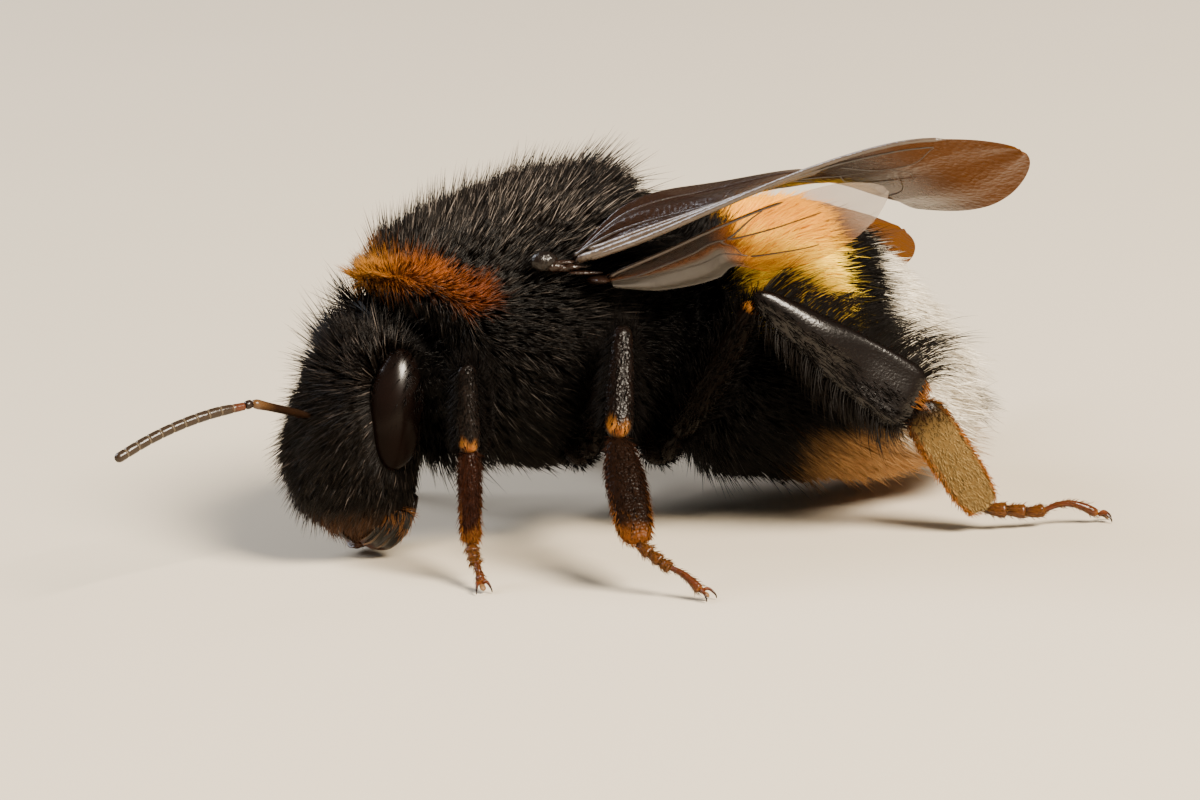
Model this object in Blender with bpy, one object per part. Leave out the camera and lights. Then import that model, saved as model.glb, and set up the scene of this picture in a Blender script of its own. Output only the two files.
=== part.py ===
"""A buff-tailed bumblebee queen, life size and standing, as one solid for each part of her body.

Sizes are in millimetres and become metres where a mesh is made. The body is modelled level, with its
waist at the origin, the head towards -X and the bee's right side towards +Y, and is then tilted as she
stands. The legs are modelled where they stand, on the floor z = 0. The trunk's solids reach to the tips
of the coat.
"""

import bpy
import bmesh
import math
import numpy as np
from mathutils import Matrix, Vector

MM = 0.001

# How she stands.
ROLL = math.radians(-6)
PITCH = math.radians(6)
WAIST_HEIGHT = 4.95
CENTRE_X = 1.70
CENTRE_Y = 0.04
HEAD_CENTRE = (-7.35, 0.0, -2.0)
HEAD_TURN = math.radians(13)

# Clearances between neighbouring solids; a tergite's is counted in rows of ABDOMEN.
GAP = 0.16
KNEE_GAP = {"fore": 0.88, "mid": 0.62, "hind": 0.52}
SOCKET_GAP = 0.12
TERGITE_GAP = 0.10
WHIP_GAP = 0.45

# Rows of the thorax and the abdomen, front to back: top x, top z, bottom x, bottom z, half width.
THORAX = (
    (-8.00, 2.40, -8.00, 1.62, 0.8),
    (-7.45, 2.95, -7.25, 1.15, 2.1),
    (-6.45, 3.65, -5.9, -0.1, 3.1),
    (-5.0, 4.40, -5.25, -2.4, 3.8),
    (-3.4, 5.00, -4.1, -3.3, 4.1),
    (-1.9, 5.28, -2.6, -3.5, 4.15),
    (-0.6, 5.10, -1.0, -3.2, 3.8),
    (0.20, 4.30, 0.05, -2.3, 2.9),
    (0.42, 3.30, 0.40, -1.1, 1.9),
)
ABDOMEN = (
    (0.72, 2.50, 0.68, -1.2, 1.9),
    (1.30, 3.45, 1.00, -2.5, 3.4),
    (2.60, 4.05, 2.00, -3.4, 4.4),
    (4.40, 4.13, 3.60, -3.65, 4.8),
    (6.20, 3.30, 5.20, -3.72, 4.7),
    (7.90, 1.90, 6.80, -3.70, 4.2),
    (9.05, 0.20, 8.00, -3.30, 3.3),
    (9.56, -1.00, 8.90, -2.80, 2.0),
    (9.66, -1.75, 9.35, -2.35, 0.7),
)
# Where one tergite ends and the next begins, counted in rows of ABDOMEN.
TERGITE_ENDS = (0.0, 2.15, 3.95, 4.62, 5.5, 6.45, 8.0)

# Rows of the head, top to bottom: front x, back x, z, half width.
HEAD = (
    (-1.02, -0.42, 3.05, 0.45),
    (-1.30, 0.25, 2.70, 1.2),
    (-1.55, 0.80, 2.25, 1.75),
    (-1.95, 1.15, 1.60, 2.2),
    (-2.35, 1.35, 0.60, 2.42),
    (-2.52, 1.40, -0.40, 2.38),
    (-2.32, 1.30, -1.60, 2.1),
    (-1.75, 1.15, -2.45, 1.65),
    (-1.20, 0.95, -3.00, 1.15),
    (-0.85, 0.70, -3.18, 0.75),
)
EYE_PLACE = (0.12, 2.02, 0.45)
EYE_SIZE = (0.78, 0.62, 1.66)
EYE_LEAN = math.radians(5)

# Right mandible and folded tongue: start, end, and radii at both ends and the middle.
JAW = ((-0.45, 0.78, -3.34), (0.25, 0.34, -3.44), (0.24, 0.26, 0.18))
JAW_FLATNESS = 0.7
TONGUE = ((1.05, 0.0, -3.28), (1.95, 0.0, -2.20), (0.26, 0.32, 0.28))
TONGUE_FLATNESS = 0.8

# Feelers in the level body: base, elbow and tip, and their radii.
FEELERS = {
    "left": ((-9.62, -1.10, -1.66), (-10.81, -2.60, -1.27), (-14.63, -4.00, -2.64)),
    "right": ((-9.45, 1.75, -1.55), (-8.75, 3.75, -0.95), (-7.60, 7.10, -2.90)),
}
SCAPE_RADIUS = 0.25
FLAGELLUM_RADIUS = 0.27
FLAGELLUM_BOW = 0.18

# Wings in the level body: root and tip of the front edge, how far it bows up between them, how far
# the front and rear edges lie behind it in parts of its length, and the chord's pitch in degrees.
FOREWINGS = {
    "left": ((-2.2, -4.15, 2.50), (7.20, -12.9, 6.65)),
    "right": ((-2.2, 4.15, 2.50), (8.60, 12.2, 3.25)),
}
HINDWINGS = {
    "left": ((-1.4, -4.55, 1.85), (5.10, -9.3, 4.70)),
    "right": ((-1.4, 4.7, 1.9), (6.30, 9.3, 2.1)),
}
WING_BOW = {"forewing": 0.35, "hindwing": 0.25}
FOREWING_LEAD = ((0.0, 0.0), (0.78, 0.0), (0.9, 0.025), (0.97, 0.07), (1.0, 0.135))
FOREWING_TRAIL = ((0.0, 0.03), (0.1, 0.10), (0.25, 0.18), (0.5, 0.27), (0.7, 0.32), (0.86, 0.29),
                  (0.95, 0.235), (1.0, 0.14))
FOREWING_PITCH = ((0.0, 62.0), (0.1, 58.0), (0.25, 27.0), (0.42, 11.0), (0.52, -3.0), (0.62, -19.0),
                  (0.8, -26.0), (1.0, -24.0))
HINDWING_LEAD = ((0.0, 0.0), (0.84, 0.0), (0.95, 0.025), (1.0, 0.07))
HINDWING_TRAIL = ((0.0, 0.06), (0.12, 0.14), (0.3, 0.19), (0.37, 0.175), (0.45, 0.25), (0.6, 0.28),
                  (0.75, 0.25), (0.9, 0.175), (1.0, 0.075))
HINDWING_PITCH = {"left": -44.0, "right": -27.0}
WING_THICKNESS = 0.5
TEGULA_PLACE = (-3.0, 4.15, 2.62)
TEGULA_SIZE = (0.50, 0.25, 0.36)

# Legs where they stand: hip, trochanter, knee, ankle, heel and toe.
LEGS = {
    "fore_left": ((-4.75, -1.75, 2.00), (-4.95, -2.65, 2.75), (-5.18, -4.75, 5.86),
                  (-5.37, -4.95, 3.48), (-5.61, -5.43, 1.09), (-5.54, -6.54, 0.14)),
    "mid_left": ((-2.05, -1.85, 1.45), (-1.85, -2.85, 2.20), (-0.95, -5.40, 6.55),
                 (-1.55, -6.76, 3.77), (-1.57, -9.02, 1.37), (-0.11, -10.54, 0.14)),
    "hind_left": ((0.05, -1.75, 1.25), (0.40, -2.80, 1.90), (2.67, -5.95, 7.08),
                  (6.80, -6.10, 3.55), (8.30, -6.60, 0.62), (11.52, -7.18, 0.14)),
    "fore_right": ((-4.75, 1.95, 1.65), (-5.00, 2.75, 2.20), (-5.70, 5.05, 4.75),
                   (-6.55, 5.95, 2.85), (-6.75, 7.05, 0.95), (-7.00, 8.35, 0.14)),
    "mid_right": ((-2.05, 2.05, 1.10), (-1.95, 2.95, 1.70), (-1.10, 6.00, 4.95),
                  (-1.90, 8.00, 2.80), (-1.70, 9.90, 0.95), (-0.60, 11.40, 0.14)),
    "hind_right": ((0.15, 1.95, 0.95), (0.55, 2.90, 1.45), (2.50, 5.90, 5.40),
                   (6.10, 7.70, 2.10), (7.40, 8.60, 0.55), (8.80, 9.90, 0.14)),
}
# How far a femur bows outwards, how deep a foot is pressed on the floor, and how its toes arch.
THIGH_BOW = 0.30
FOOT_SINK = 0.07
TOE_ARCH = {"fore": 0.0, "mid": 0.05, "hind": 0.25}
# Half width of each length of a leg at its start, middle and end, and its thickness for its width.
LEG_GIRTHS = {
    "fore": {"coxa": (0.50, 0.55, 0.42), "femur": (0.38, 0.50, 0.26), "tibia": (0.26, 0.44, 0.42),
             "basitarsus": (0.32, 0.36, 0.27), "tarsus": (0.25, 0.25, 0.25)},
    "mid": {"coxa": (0.55, 0.60, 0.45), "femur": (0.40, 0.55, 0.29), "tibia": (0.28, 0.50, 0.52),
            "basitarsus": (0.40, 0.58, 0.36), "tarsus": (0.27, 0.26, 0.27)},
    "hind": {"coxa": (0.55, 0.62, 0.48), "femur": (0.42, 0.60, 0.32), "tibia": (0.34, 0.88, 1.02),
             "basitarsus": (0.62, 0.66, 0.42), "tarsus": (0.28, 0.26, 0.27)},
}
FLATNESS = {"coxa": 1.0, "femur": 0.85, "tibia": 0.75, "basitarsus": 0.55, "tarsus": 1.0}
HIND_FLATNESS = {"coxa": 1.0, "femur": 0.8, "tibia": 0.42, "basitarsus": 0.42, "tarsus": 1.0}
# The flat side of a leg faces outwards, and upwards by this much.
FACING_RISE = 0.35

COLOURS = {
    "black coat": (0.012, 0.010, 0.009),
    "ochre coat": (0.42, 0.16, 0.02),
    "yellow coat": (0.80, 0.40, 0.03),
    "white coat": (0.78, 0.74, 0.66),
    "horn": (0.020, 0.012, 0.008),
    "eye": (0.006, 0.005, 0.005),
    "amber": (0.36, 0.13, 0.03),
    "wing": (0.20, 0.11, 0.05),
}
ROUGHNESS = {"horn": 0.3, "eye": 0.12, "wing": 0.3, "amber": 0.4}


def clear_scene():
    """Removes whatever the scene holds."""
    for obj in list(bpy.data.objects):
        bpy.data.objects.remove(obj, do_unlink=True)


def finish(obj, colour):
    """Gives a piece a material of its own in one of the bee's colours."""
    material = bpy.data.materials.new(obj.name + " " + colour)
    material.use_nodes = True
    shader = material.node_tree.nodes["Principled BSDF"]
    shader.inputs["Base Color"].default_value = (*COLOURS[colour], 1)
    shader.inputs["Roughness"].default_value = ROUGHNESS.get(colour, 0.8)
    shader.inputs["Metallic"].default_value = 0
    obj.data.materials.append(material)


def rows_at(rows, places):
    """Rows between the given ones, on a smooth curve through them (Catmull-Rom)."""
    rows = np.asarray(rows, float)
    padded = np.vstack([2 * rows[0] - rows[1], rows, 2 * rows[-1] - rows[-2]])
    places = np.asarray(places, float)
    low = np.clip(places.astype(int), 0, len(rows) - 2)
    t = (places - low)[:, None]
    before, start, end, after = (padded[low + k] for k in range(4))
    return 0.5 * (2 * start + (end - before) * t + (2 * before - 5 * start + 4 * end - after) * t ** 2
                  + (3 * start - before - 3 * end + after) * t ** 3)


def profile(table, places):
    """The value at each place of a table of (place, value) rows, joined smoothly."""
    table = np.asarray(table, float)
    spread = np.interp(places, table[:, 0], np.arange(len(table)))
    return rows_at(table, spread)[:, 1]


def solid(name, rings, colour, parent):
    """A closed body through rings of points, with a point in the middle of each end."""
    rings = np.asarray(rings, float) * MM
    mesh = bmesh.new()
    loops = [[mesh.verts.new(p) for p in ring] for ring in rings]
    count = len(loops[0])
    for first, second in zip(loops, loops[1:]):
        for k in range(count):
            mesh.faces.new((first[k], first[(k + 1) % count], second[(k + 1) % count], second[k]))
    for loop in (loops[0], loops[-1]):
        middle = mesh.verts.new(sum((v.co for v in loop), Vector()) / count)
        for k in range(count):
            mesh.faces.new((loop[k], loop[(k + 1) % count], middle))
    return as_object(name, mesh, colour, parent)


def as_object(name, mesh, colour, parent):
    """Turns a bmesh into a smooth-shaded object with its faces outwards, under its parent."""
    bmesh.ops.recalc_face_normals(mesh, faces=mesh.faces)
    data = bpy.data.meshes.new(name)
    mesh.to_mesh(data)
    mesh.free()
    if signed_volume(data) < 0:
        data.flip_normals()
    data.shade_smooth()
    data.set_sharp_from_angle(angle=math.radians(50))
    obj = bpy.data.objects.new(name, data)
    bpy.context.scene.collection.objects.link(obj)
    obj.parent = parent
    finish(obj, colour)
    return obj


def signed_volume(data):
    """Volume of a mesh, negative where its faces point inwards."""
    points = np.array([v.co for v in data.vertices])
    data.calc_loop_triangles()
    corners = points[np.array([t.vertices[:] for t in data.loop_triangles])]
    return np.linalg.det(corners).sum() / 6


def hoops(rows, places, sides=22):
    """Upright rings of the trunk: each is an oval between its top and bottom points."""
    rows = rows_at(rows, places)
    top = np.stack([rows[:, 0], 0 * rows[:, 0], rows[:, 1]], -1)
    bottom = np.stack([rows[:, 2], 0 * rows[:, 0], rows[:, 3]], -1)
    return ovals((top + bottom) / 2, (top - bottom) / 2, rows[:, 4], sides)


def ovals(centres, radii, half_widths, sides):
    """Rings around centres, from a vector radius and a half width along Y."""
    turn = np.linspace(0, 2 * np.pi, sides, endpoint=False)
    along = np.cos(turn)[None, :, None] * radii[:, None, :]
    across = np.sin(turn)[None, :, None] * (half_widths[:, None, None] * np.array([0.0, 1.0, 0.0]))
    return centres[:, None, :] + along + across


def socket(obj, cutter):
    """Cuts the shape of cutter out of obj."""
    cutter.hide_render = True
    cutter.display_type = "WIRE"
    cut = obj.modifiers.new("socket of " + cutter.name, "BOOLEAN")
    cut.operation = "DIFFERENCE"
    cut.solver = "EXACT"
    cut.object = cutter


def tube(path, radii, flatness=1.0, flat_normal=(0.0, 0.0, 1.0), sides=9):
    """Rings across a path: radii along each ring's width, and flatness times that through it."""
    path = np.asarray(path, float)
    along = np.gradient(path, axis=0)
    along /= np.linalg.norm(along, axis=1)[:, None]
    width = np.cross(along, np.asarray(flat_normal, float))
    width /= np.linalg.norm(width, axis=1)[:, None]
    depth = np.cross(width, along)
    turn = np.linspace(0, 2 * np.pi, sides, endpoint=False)
    radii = np.asarray(radii, float)[:, None, None]
    return (path[:, None, :] + radii * (np.cos(turn)[None, :, None] * width[:, None, :]
            + flatness * np.sin(turn)[None, :, None] * depth[:, None, :]))


def capsule(start, end, radii, steps=7, bow=(0.0, 0.0, 0.0)):
    """Path and radii of a limb with rounded ends, thickness given at its ends and middle."""
    start, end = np.asarray(start, float), np.asarray(end, float)
    length = np.linalg.norm(end - start)
    cap = min(0.45 * max(radii[0], radii[2]), 0.3 * length) / length
    places = np.concatenate([[0.0, 0.35 * cap], np.linspace(cap, 1 - cap, steps - 4),
                             [1 - 0.35 * cap, 1.0]])
    girth = profile(((0, radii[0]), (0.5, radii[1]), (1, radii[2])), places)
    ends = np.minimum(places, 1 - places) / cap
    girth = girth * np.sqrt(np.clip(1 - (1 - np.clip(ends, 0, 1)) ** 2, 0.16, 1))
    lift = (4 * places * (1 - places))[:, None] * np.asarray(bow, float)
    return start + places[:, None] * (end - start) + lift, girth


def sheet(name, grid, colour, parent):
    """A closed sheet of even thickness around a grid of points."""
    grid = np.asarray(grid, float)
    across = np.gradient(grid, axis=1)
    along = np.gradient(grid, axis=0)
    normal = np.cross(along, across)
    normal /= np.linalg.norm(normal, axis=2)[:, :, None]
    layers = [(grid + side * normal * WING_THICKNESS / 2) * MM for side in (1, -1)]
    rows, columns = grid.shape[:2]
    mesh = bmesh.new()
    upper, lower = ([[mesh.verts.new(p) for p in row] for row in layer] for layer in layers)
    for i in range(rows - 1):
        for j in range(columns - 1):
            for layer in (upper, lower):
                mesh.faces.new((layer[i][j], layer[i + 1][j], layer[i + 1][j + 1], layer[i][j + 1]))
    rim = [(i, 0) for i in range(rows)] + [(rows - 1, j) for j in range(1, columns)]
    rim += [(i, columns - 1) for i in range(rows - 2, -1, -1)] + [(0, j) for j in range(columns - 2, 0, -1)]
    for (a, b), (c, d) in zip(rim, rim[1:] + rim[:1]):
        mesh.faces.new((upper[a][b], upper[c][d], lower[c][d], lower[a][b]))
    return as_object(name, mesh, colour, parent)


def wing_grid(root, tip, bow, lead, trail, pitch, spans=13, chords=5):
    """Points of a wing: along the bowed span from root to tip, and inwards along a pitching chord."""
    root, tip = np.array(root), np.array(tip)
    length = np.linalg.norm(tip - root)
    span = (tip - root) / length
    inward = np.cross(span, (0.0, 0.0, 1.0)) * -np.sign(root[1])
    inward /= np.linalg.norm(inward)
    inward *= 1 if inward[1] * root[1] < 0 else -1
    lift = np.cross(span, inward)
    lift *= 1 if lift[2] > 0 else -1
    places = np.sin(np.linspace(0, np.pi / 2, spans)) * 0.995
    angles = np.radians(pitch(places))[:, None]
    chord = np.cos(angles) * inward + np.sin(angles) * lift
    lead, trail = profile(lead, places) * length, profile(trail, places) * length
    reach = lead[:, None] + np.linspace(0, 1, chords)[None, :] * (trail - lead)[:, None]
    rise = bow * np.sin(np.pi * places ** 1.5)[:, None] * np.array([0.0, 0.0, 1.0])
    edge = root + places[:, None] * (tip - root) + rise
    return edge[:, None, :] + reach[:, :, None] * chord[:, None, :]


def make_trunk(body):
    """The thorax in one piece, and the abdomen parted into its six tergites."""
    places = np.linspace(0, len(THORAX) - 1, 15)
    solid("thorax", hoops(THORAX, places), "black coat", body)
    bands = ("black coat", "yellow coat", "black coat", "white coat", "white coat", "black coat")
    for number, band in enumerate(bands):
        start, end = TERGITE_ENDS[number] + TERGITE_GAP / 2, TERGITE_ENDS[number + 1] - TERGITE_GAP / 2
        steps = 5 if number in (0, 1, 5) else 3
        rings = hoops(ABDOMEN, np.linspace(start, end, steps))
        solid("abdomen_%d" % (number + 1), rings, band, body)


def make_head(head):
    """Head with a socket for each eye, the eyes, the mandibles and the folded tongue."""
    rows = rows_at(HEAD, np.linspace(0, len(HEAD) - 1, 12))
    zero = 0 * rows[:, 0]
    middle = np.stack([(rows[:, 0] + rows[:, 1]) / 2, zero, rows[:, 2]], -1)
    depth = np.stack([(rows[:, 1] - rows[:, 0]) / 2, zero, zero], -1)
    skull = solid("head", ovals(middle, depth, rows[:, 3], 22), "black coat", head)
    for side, sign in (("left", -1), ("right", 1)):
        place = Vector((EYE_PLACE[0], sign * EYE_PLACE[1], EYE_PLACE[2]))
        eye = globe("eye_" + side, place, EYE_SIZE, "eye", head)
        larger = [radius + SOCKET_GAP for radius in EYE_SIZE]
        hollow = globe("eye_socket_" + side, place, larger, "horn", head)
        for piece in (eye, hollow):
            piece.rotation_euler = (0, EYE_LEAN, 0)
        socket(skull, hollow)
        hinge, point = (np.array(end) * (1, sign, 1) for end in JAW[:2])
        jaw = capsule(hinge, point, JAW[2], 6)
        solid("mandible_" + side, tube(*jaw, JAW_FLATNESS, (1, 0, 0), 8), "horn", head)
    tongue = capsule(*TONGUE, 6)
    solid("proboscis", tube(*tongue, TONGUE_FLATNESS, (0, 0, 1), 8), "horn", head)


def globe(name, place, radii, colour, parent):
    """An ellipsoid with its long axis upright."""
    tilt = np.linspace(0.16, np.pi - 0.16, 9)
    centres = np.stack([0 * tilt, 0 * tilt, radii[2] * np.cos(tilt)], -1)
    reach = np.stack([radii[0] * np.sin(tilt), 0 * tilt, 0 * tilt], -1)
    obj = solid(name, ovals(centres, reach, radii[1] * np.sin(tilt), 14), colour, parent)
    obj.location = place * MM
    return obj


def make_feelers(body):
    """Each feeler as its long first joint and its whip."""
    for side, (base, elbow, tip) in FEELERS.items():
        base, elbow, tip = (np.array(p) for p in (base, elbow, tip))
        whip_start = elbow + (tip - elbow) / np.linalg.norm(tip - elbow) * WHIP_GAP
        scape = capsule(base, elbow, (SCAPE_RADIUS, SCAPE_RADIUS, 1.1 * SCAPE_RADIUS), 6)
        solid("scape_" + side, tube(*scape, 1.0, (0, 0, 1), 8), "horn", body)
        whip = capsule(whip_start, tip, (0.9 * FLAGELLUM_RADIUS, FLAGELLUM_RADIUS, FLAGELLUM_RADIUS),
                       9, (0, 0, FLAGELLUM_BOW))
        solid("flagellum_" + side, tube(*whip, 1.0, (0, 0, 1), 8), "horn", body)


def make_wings(body):
    """Two wings a side and the scale over their roots."""
    for side, sign in (("left", -1), ("right", 1)):
        grid = wing_grid(*FOREWINGS[side], WING_BOW["forewing"], FOREWING_LEAD, FOREWING_TRAIL,
                         lambda s: profile(FOREWING_PITCH, s))
        sheet("forewing_" + side, grid, "wing", body)
        grid = wing_grid(*HINDWINGS[side], WING_BOW["hindwing"], HINDWING_LEAD, HINDWING_TRAIL,
                         lambda s: HINDWING_PITCH[side] + 0 * s)
        sheet("hindwing_" + side, grid, "wing", body)
        place = Vector((TEGULA_PLACE[0], sign * TEGULA_PLACE[1], TEGULA_PLACE[2]))
        globe("tegula_" + side, place, TEGULA_SIZE, "horn", body)


def make_legs(stance):
    """Six legs of five lengths each; each foot ends in a small flat on the floor."""
    for leg, joints in LEGS.items():
        pair, side = leg.split("_")
        girths = LEG_GIRTHS[pair]
        flatness = HIND_FLATNESS if pair == "hind" else FLATNESS
        outward = (0.0, -1.0 if side == "left" else 1.0, FACING_RISE)
        for number, (part, radii) in enumerate(girths.items()):
            start, end = (np.array(joints[number + k], float) for k in (0, 1))
            along = (end - start) / np.linalg.norm(end - start)
            knee = KNEE_GAP[pair] / 2
            trim_start = {"coxa": 0.0, "tibia": knee}.get(part, GAP / 2)
            trim_end = knee if part == "femur" else GAP / 2
            bow = (0.0, outward[1] * THIGH_BOW, 0.0) if part == "femur" else (0.0, 0.0, 0.0)
            if part == "tarsus":
                bow = (0.0, 0.0, TOE_ARCH[pair])
            path, girth = capsule(start + along * trim_start, end - along * trim_end, radii, 7, bow)
            rings = tube(path, girth, flatness[part], outward, 9)
            if part == "tarsus":
                settle = np.linspace(0, 1, len(rings))[:, None] ** 2
                rings[:, :, 2] -= (rings[:, :, 2].min() + FOOT_SINK) * settle
                rings[:, :, 2] = np.maximum(rings[:, :, 2], 0.0)
            colour = "amber" if part == "tarsus" else "horn"
            solid("%s_%s" % (leg, part), rings, colour, stance)


def empty(name, matrix, parent=None):
    """A named frame for other pieces."""
    obj = bpy.data.objects.new(name, None)
    bpy.context.scene.collection.objects.link(obj)
    obj.parent = parent
    obj.matrix_local = matrix
    return obj


clear_scene()
stance = empty("stance", Matrix.Translation(Vector((CENTRE_X, CENTRE_Y, 0)) * MM))
tilt = Matrix.Rotation(ROLL, 4, "X") @ Matrix.Rotation(PITCH, 4, "Y")
body = empty("level_body", Matrix.Translation((0, 0, WAIST_HEIGHT * MM)) @ tilt, stance)
turn = Matrix.Translation(Vector(HEAD_CENTRE) * MM) @ Matrix.Rotation(HEAD_TURN, 4, "Z")
head = empty("head_frame", turn, body)
make_trunk(body)
make_head(head)
make_feelers(body)
make_wings(body)
make_legs(stance)
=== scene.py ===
"""A buff-tailed bumblebee queen finished over her frame: skin, coat, eyes, wings, feelers and legs.

Lengths are millimetres until a mesh or an object is made. The trunk, head and wings are worked out in
the level body, with its waist at the origin, the head towards -X and the right side towards +Y.
"""

import math
import bpy
import numpy as np
from mathutils import Matrix


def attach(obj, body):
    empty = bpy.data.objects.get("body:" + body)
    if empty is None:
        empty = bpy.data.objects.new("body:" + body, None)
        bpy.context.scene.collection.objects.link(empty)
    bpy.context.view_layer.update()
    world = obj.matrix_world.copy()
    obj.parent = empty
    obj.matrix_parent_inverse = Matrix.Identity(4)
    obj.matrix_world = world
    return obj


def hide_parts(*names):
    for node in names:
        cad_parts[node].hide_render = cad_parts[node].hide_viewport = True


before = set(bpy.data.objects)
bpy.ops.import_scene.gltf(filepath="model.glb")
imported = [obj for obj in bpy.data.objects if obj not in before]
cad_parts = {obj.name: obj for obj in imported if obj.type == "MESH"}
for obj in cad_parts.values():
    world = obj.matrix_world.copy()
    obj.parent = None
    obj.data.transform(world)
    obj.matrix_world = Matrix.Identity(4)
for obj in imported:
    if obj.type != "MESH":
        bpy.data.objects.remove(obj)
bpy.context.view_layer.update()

# ---- Stance and camera -------------------------------------------------------------------------
# She stands crouched on the floor, tail a little lower than her head and left side a little higher.
# The camera looks at her left side, level with her own body, so it is rolled against the floor.
MM = 0.001
ROLL = math.radians(-6)
PITCH = math.radians(6)
WAIST = np.array([1.70, 0.04, 4.95])
CAMERA_AZIMUTH = math.radians(-8)
CAMERA_HEIGHT = math.radians(5)
CAMERA_DISTANCE = 180.0
CAMERA_AIM = np.array([-0.9, 0.0, -1.53])
VIEW_WIDTH = 33.33
SENSOR = 36.0


def turned(axis, angle):
    """The 3 by 3 matrix of a turn about X, Y or Z."""
    return np.array(Matrix.Rotation(angle, 3, axis))


def unit(vectors):
    """Vectors made one long."""
    return vectors / np.maximum(np.linalg.norm(vectors, axis=-1, keepdims=True), 1e-12)


TILT = turned("X", ROLL) @ turned("Y", PITCH)


def posed(points):
    """Points of the level body in millimetres, tilted and raised as she stands, in metres."""
    return (np.asarray(points, float) @ TILT.T + WAIST) * MM


def on_floor(points):
    """Points of the level body as posed, with any that would reach under the floor laid on it."""
    return np.maximum(posed(points), (-np.inf, -np.inf, 0.0))


def placed(obj, axes, place):
    """Adds an object to the scene, turned to these axes, at a place in metres."""
    matrix = np.eye(4)
    matrix[:3, :3] = axes
    matrix[:3, 3] = place
    obj.matrix_world = Matrix(matrix)
    bpy.context.scene.collection.objects.link(obj)


def add_camera():
    """Puts the camera back from its aim along azimuth and height, both measured in the level body."""
    azimuth, height = CAMERA_AZIMUTH, CAMERA_HEIGHT
    back = np.array([math.sin(azimuth) * math.cos(height), -math.cos(azimuth) * math.cos(height),
                     math.sin(height)])
    right = np.array([math.cos(azimuth), math.sin(azimuth), 0.0])
    data = bpy.data.cameras.new("camera")
    data.lens = SENSOR * CAMERA_DISTANCE / VIEW_WIDTH
    data.sensor_width = SENSOR
    data.clip_start = 0.005
    data.clip_end = 20
    camera = bpy.data.objects.new("camera", data)
    placed(camera, TILT @ np.stack([right, np.cross(back, right), back], axis=1),
           posed(CAMERA_AIM + CAMERA_DISTANCE * back))
    bpy.context.scene.camera = camera


add_camera()

# ---- Floor and light ---------------------------------------------------------------------------
# A plain pale studio floor, one key light high on the camera's right, a wide soft one behind on the
# left that draws the wings' front edges, and soft light all round.
FLOOR_COLOUR = "#cfc3af"
FLOOR_CLOUDS = "#d3c8b5"
FLOOR_RADIUS = 3000.0


def linear(code, alpha=1.0):
    """An sRGB hex colour as linear red, green, blue and alpha."""
    values = np.array([int(code[k:k + 2], 16) / 255 for k in (1, 3, 5)])
    values = np.where(values <= 0.04045, values / 12.92, ((values + 0.055) / 1.055) ** 2.4)
    return (*values.tolist(), alpha)


def tone(code, alpha=None):
    """A hex colour as an array of linear red, green and blue, and of alpha where that is given."""
    return np.array(linear(code, alpha)[:3 if alpha is None else 4])


def blend(first, second, amount):
    """Mixes two colours, each a hex code or an array, by an amount for each row."""
    first, second = (tone(c) if isinstance(c, str) else c for c in (first, second))
    return first + (second - first) * amount[:, None]


def material(name):
    """A new material, as two functions: add puts a node in it, and finish gives it its surface."""
    made = bpy.data.materials.new(name)
    made.use_nodes = True
    tree = made.node_tree
    tree.nodes.clear()

    def add(kind, inputs=None, **settings):
        """An input given a node or a socket is linked to it, and any other value is set."""
        node = tree.nodes.new("ShaderNode" + kind)
        for key, value in settings.items():
            setattr(node, key, value)
        for key, value in (inputs or {}).items():
            if isinstance(value, bpy.types.Node):
                value = value.outputs[0]
            if isinstance(value, bpy.types.NodeSocket):
                tree.links.new(value, node.inputs[key])
            else:
                node.inputs[key].default_value = value
        return node

    def finish(inputs):
        add("OutputMaterial", {"Surface": add("BsdfPrincipled", inputs)})
        return made
    return add, finish


def painted_floor():
    """Matt studio paper: one pale colour with a very faint cloudiness, and almost no gloss."""
    add, finish = material("studio paper")
    place = add("TexCoord").outputs["Object"]
    cloud = add("TexNoise", {"Vector": place, "Scale": 40.0, "Detail": 3.0})
    shade = add("MixRGB", {"Fac": cloud, "Color1": linear(FLOOR_COLOUR), "Color2": linear(FLOOR_CLOUDS)})
    return finish({"Base Color": shade, "Roughness": 0.9, "Specular IOR Level": 0.1})


def shown(name, data, finish, smooth=True):
    """A mesh as an object of the scene, in one material."""
    data.materials.append(finish)
    if smooth:
        data.shade_smooth()
    obj = bpy.data.objects.new(name, data)
    bpy.context.scene.collection.objects.link(obj)
    return obj


def mesh_of(name, points, faces):
    """A mesh from points in metres and faces as lists of corners."""
    data = bpy.data.meshes.new(name)
    data.from_pydata(np.asarray(points).tolist(), [], faces)
    return data


def add_floor():
    """A large square of floor at z = 0."""
    reach = FLOOR_RADIUS * MM
    corners = [(-reach, -reach, 0), (reach, -reach, 0), (reach, reach, 0), (-reach, reach, 0)]
    shown("floor", mesh_of("floor", corners, [[0, 1, 2, 3]]), painted_floor(), smooth=False)


def add_light(name, place, size, power, colour):
    """A square area light at a place, in millimetres from the waist, that faces the waist."""
    data = bpy.data.lights.new(name, "AREA")
    data.size = size * MM
    data.energy = power
    data.color = linear(colour)[:3]
    back = unit(np.array(place, float))
    right = unit(np.cross((0.0, 0.0, 1.0), back))
    placed(bpy.data.objects.new(name, data), np.stack([right, np.cross(back, right), back], axis=1),
           (np.array(place) + WAIST) * MM)


def add_studio_air(strength, colour):
    """Soft light from everywhere."""
    world = bpy.data.worlds.new("studio air")
    world.use_nodes = True
    background = world.node_tree.nodes["Background"]
    background.inputs["Color"].default_value = linear(colour)
    background.inputs["Strength"].default_value = strength
    bpy.context.scene.world = world


add_floor()
add_light("key light", (125, -225, 205), 112, 4.6, "#fff1dc")
add_light("sky light", (-190, 140, 190), 170, 1.1, "#f4f7ff")
add_studio_air(0.21, "#f1ede6")

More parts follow.
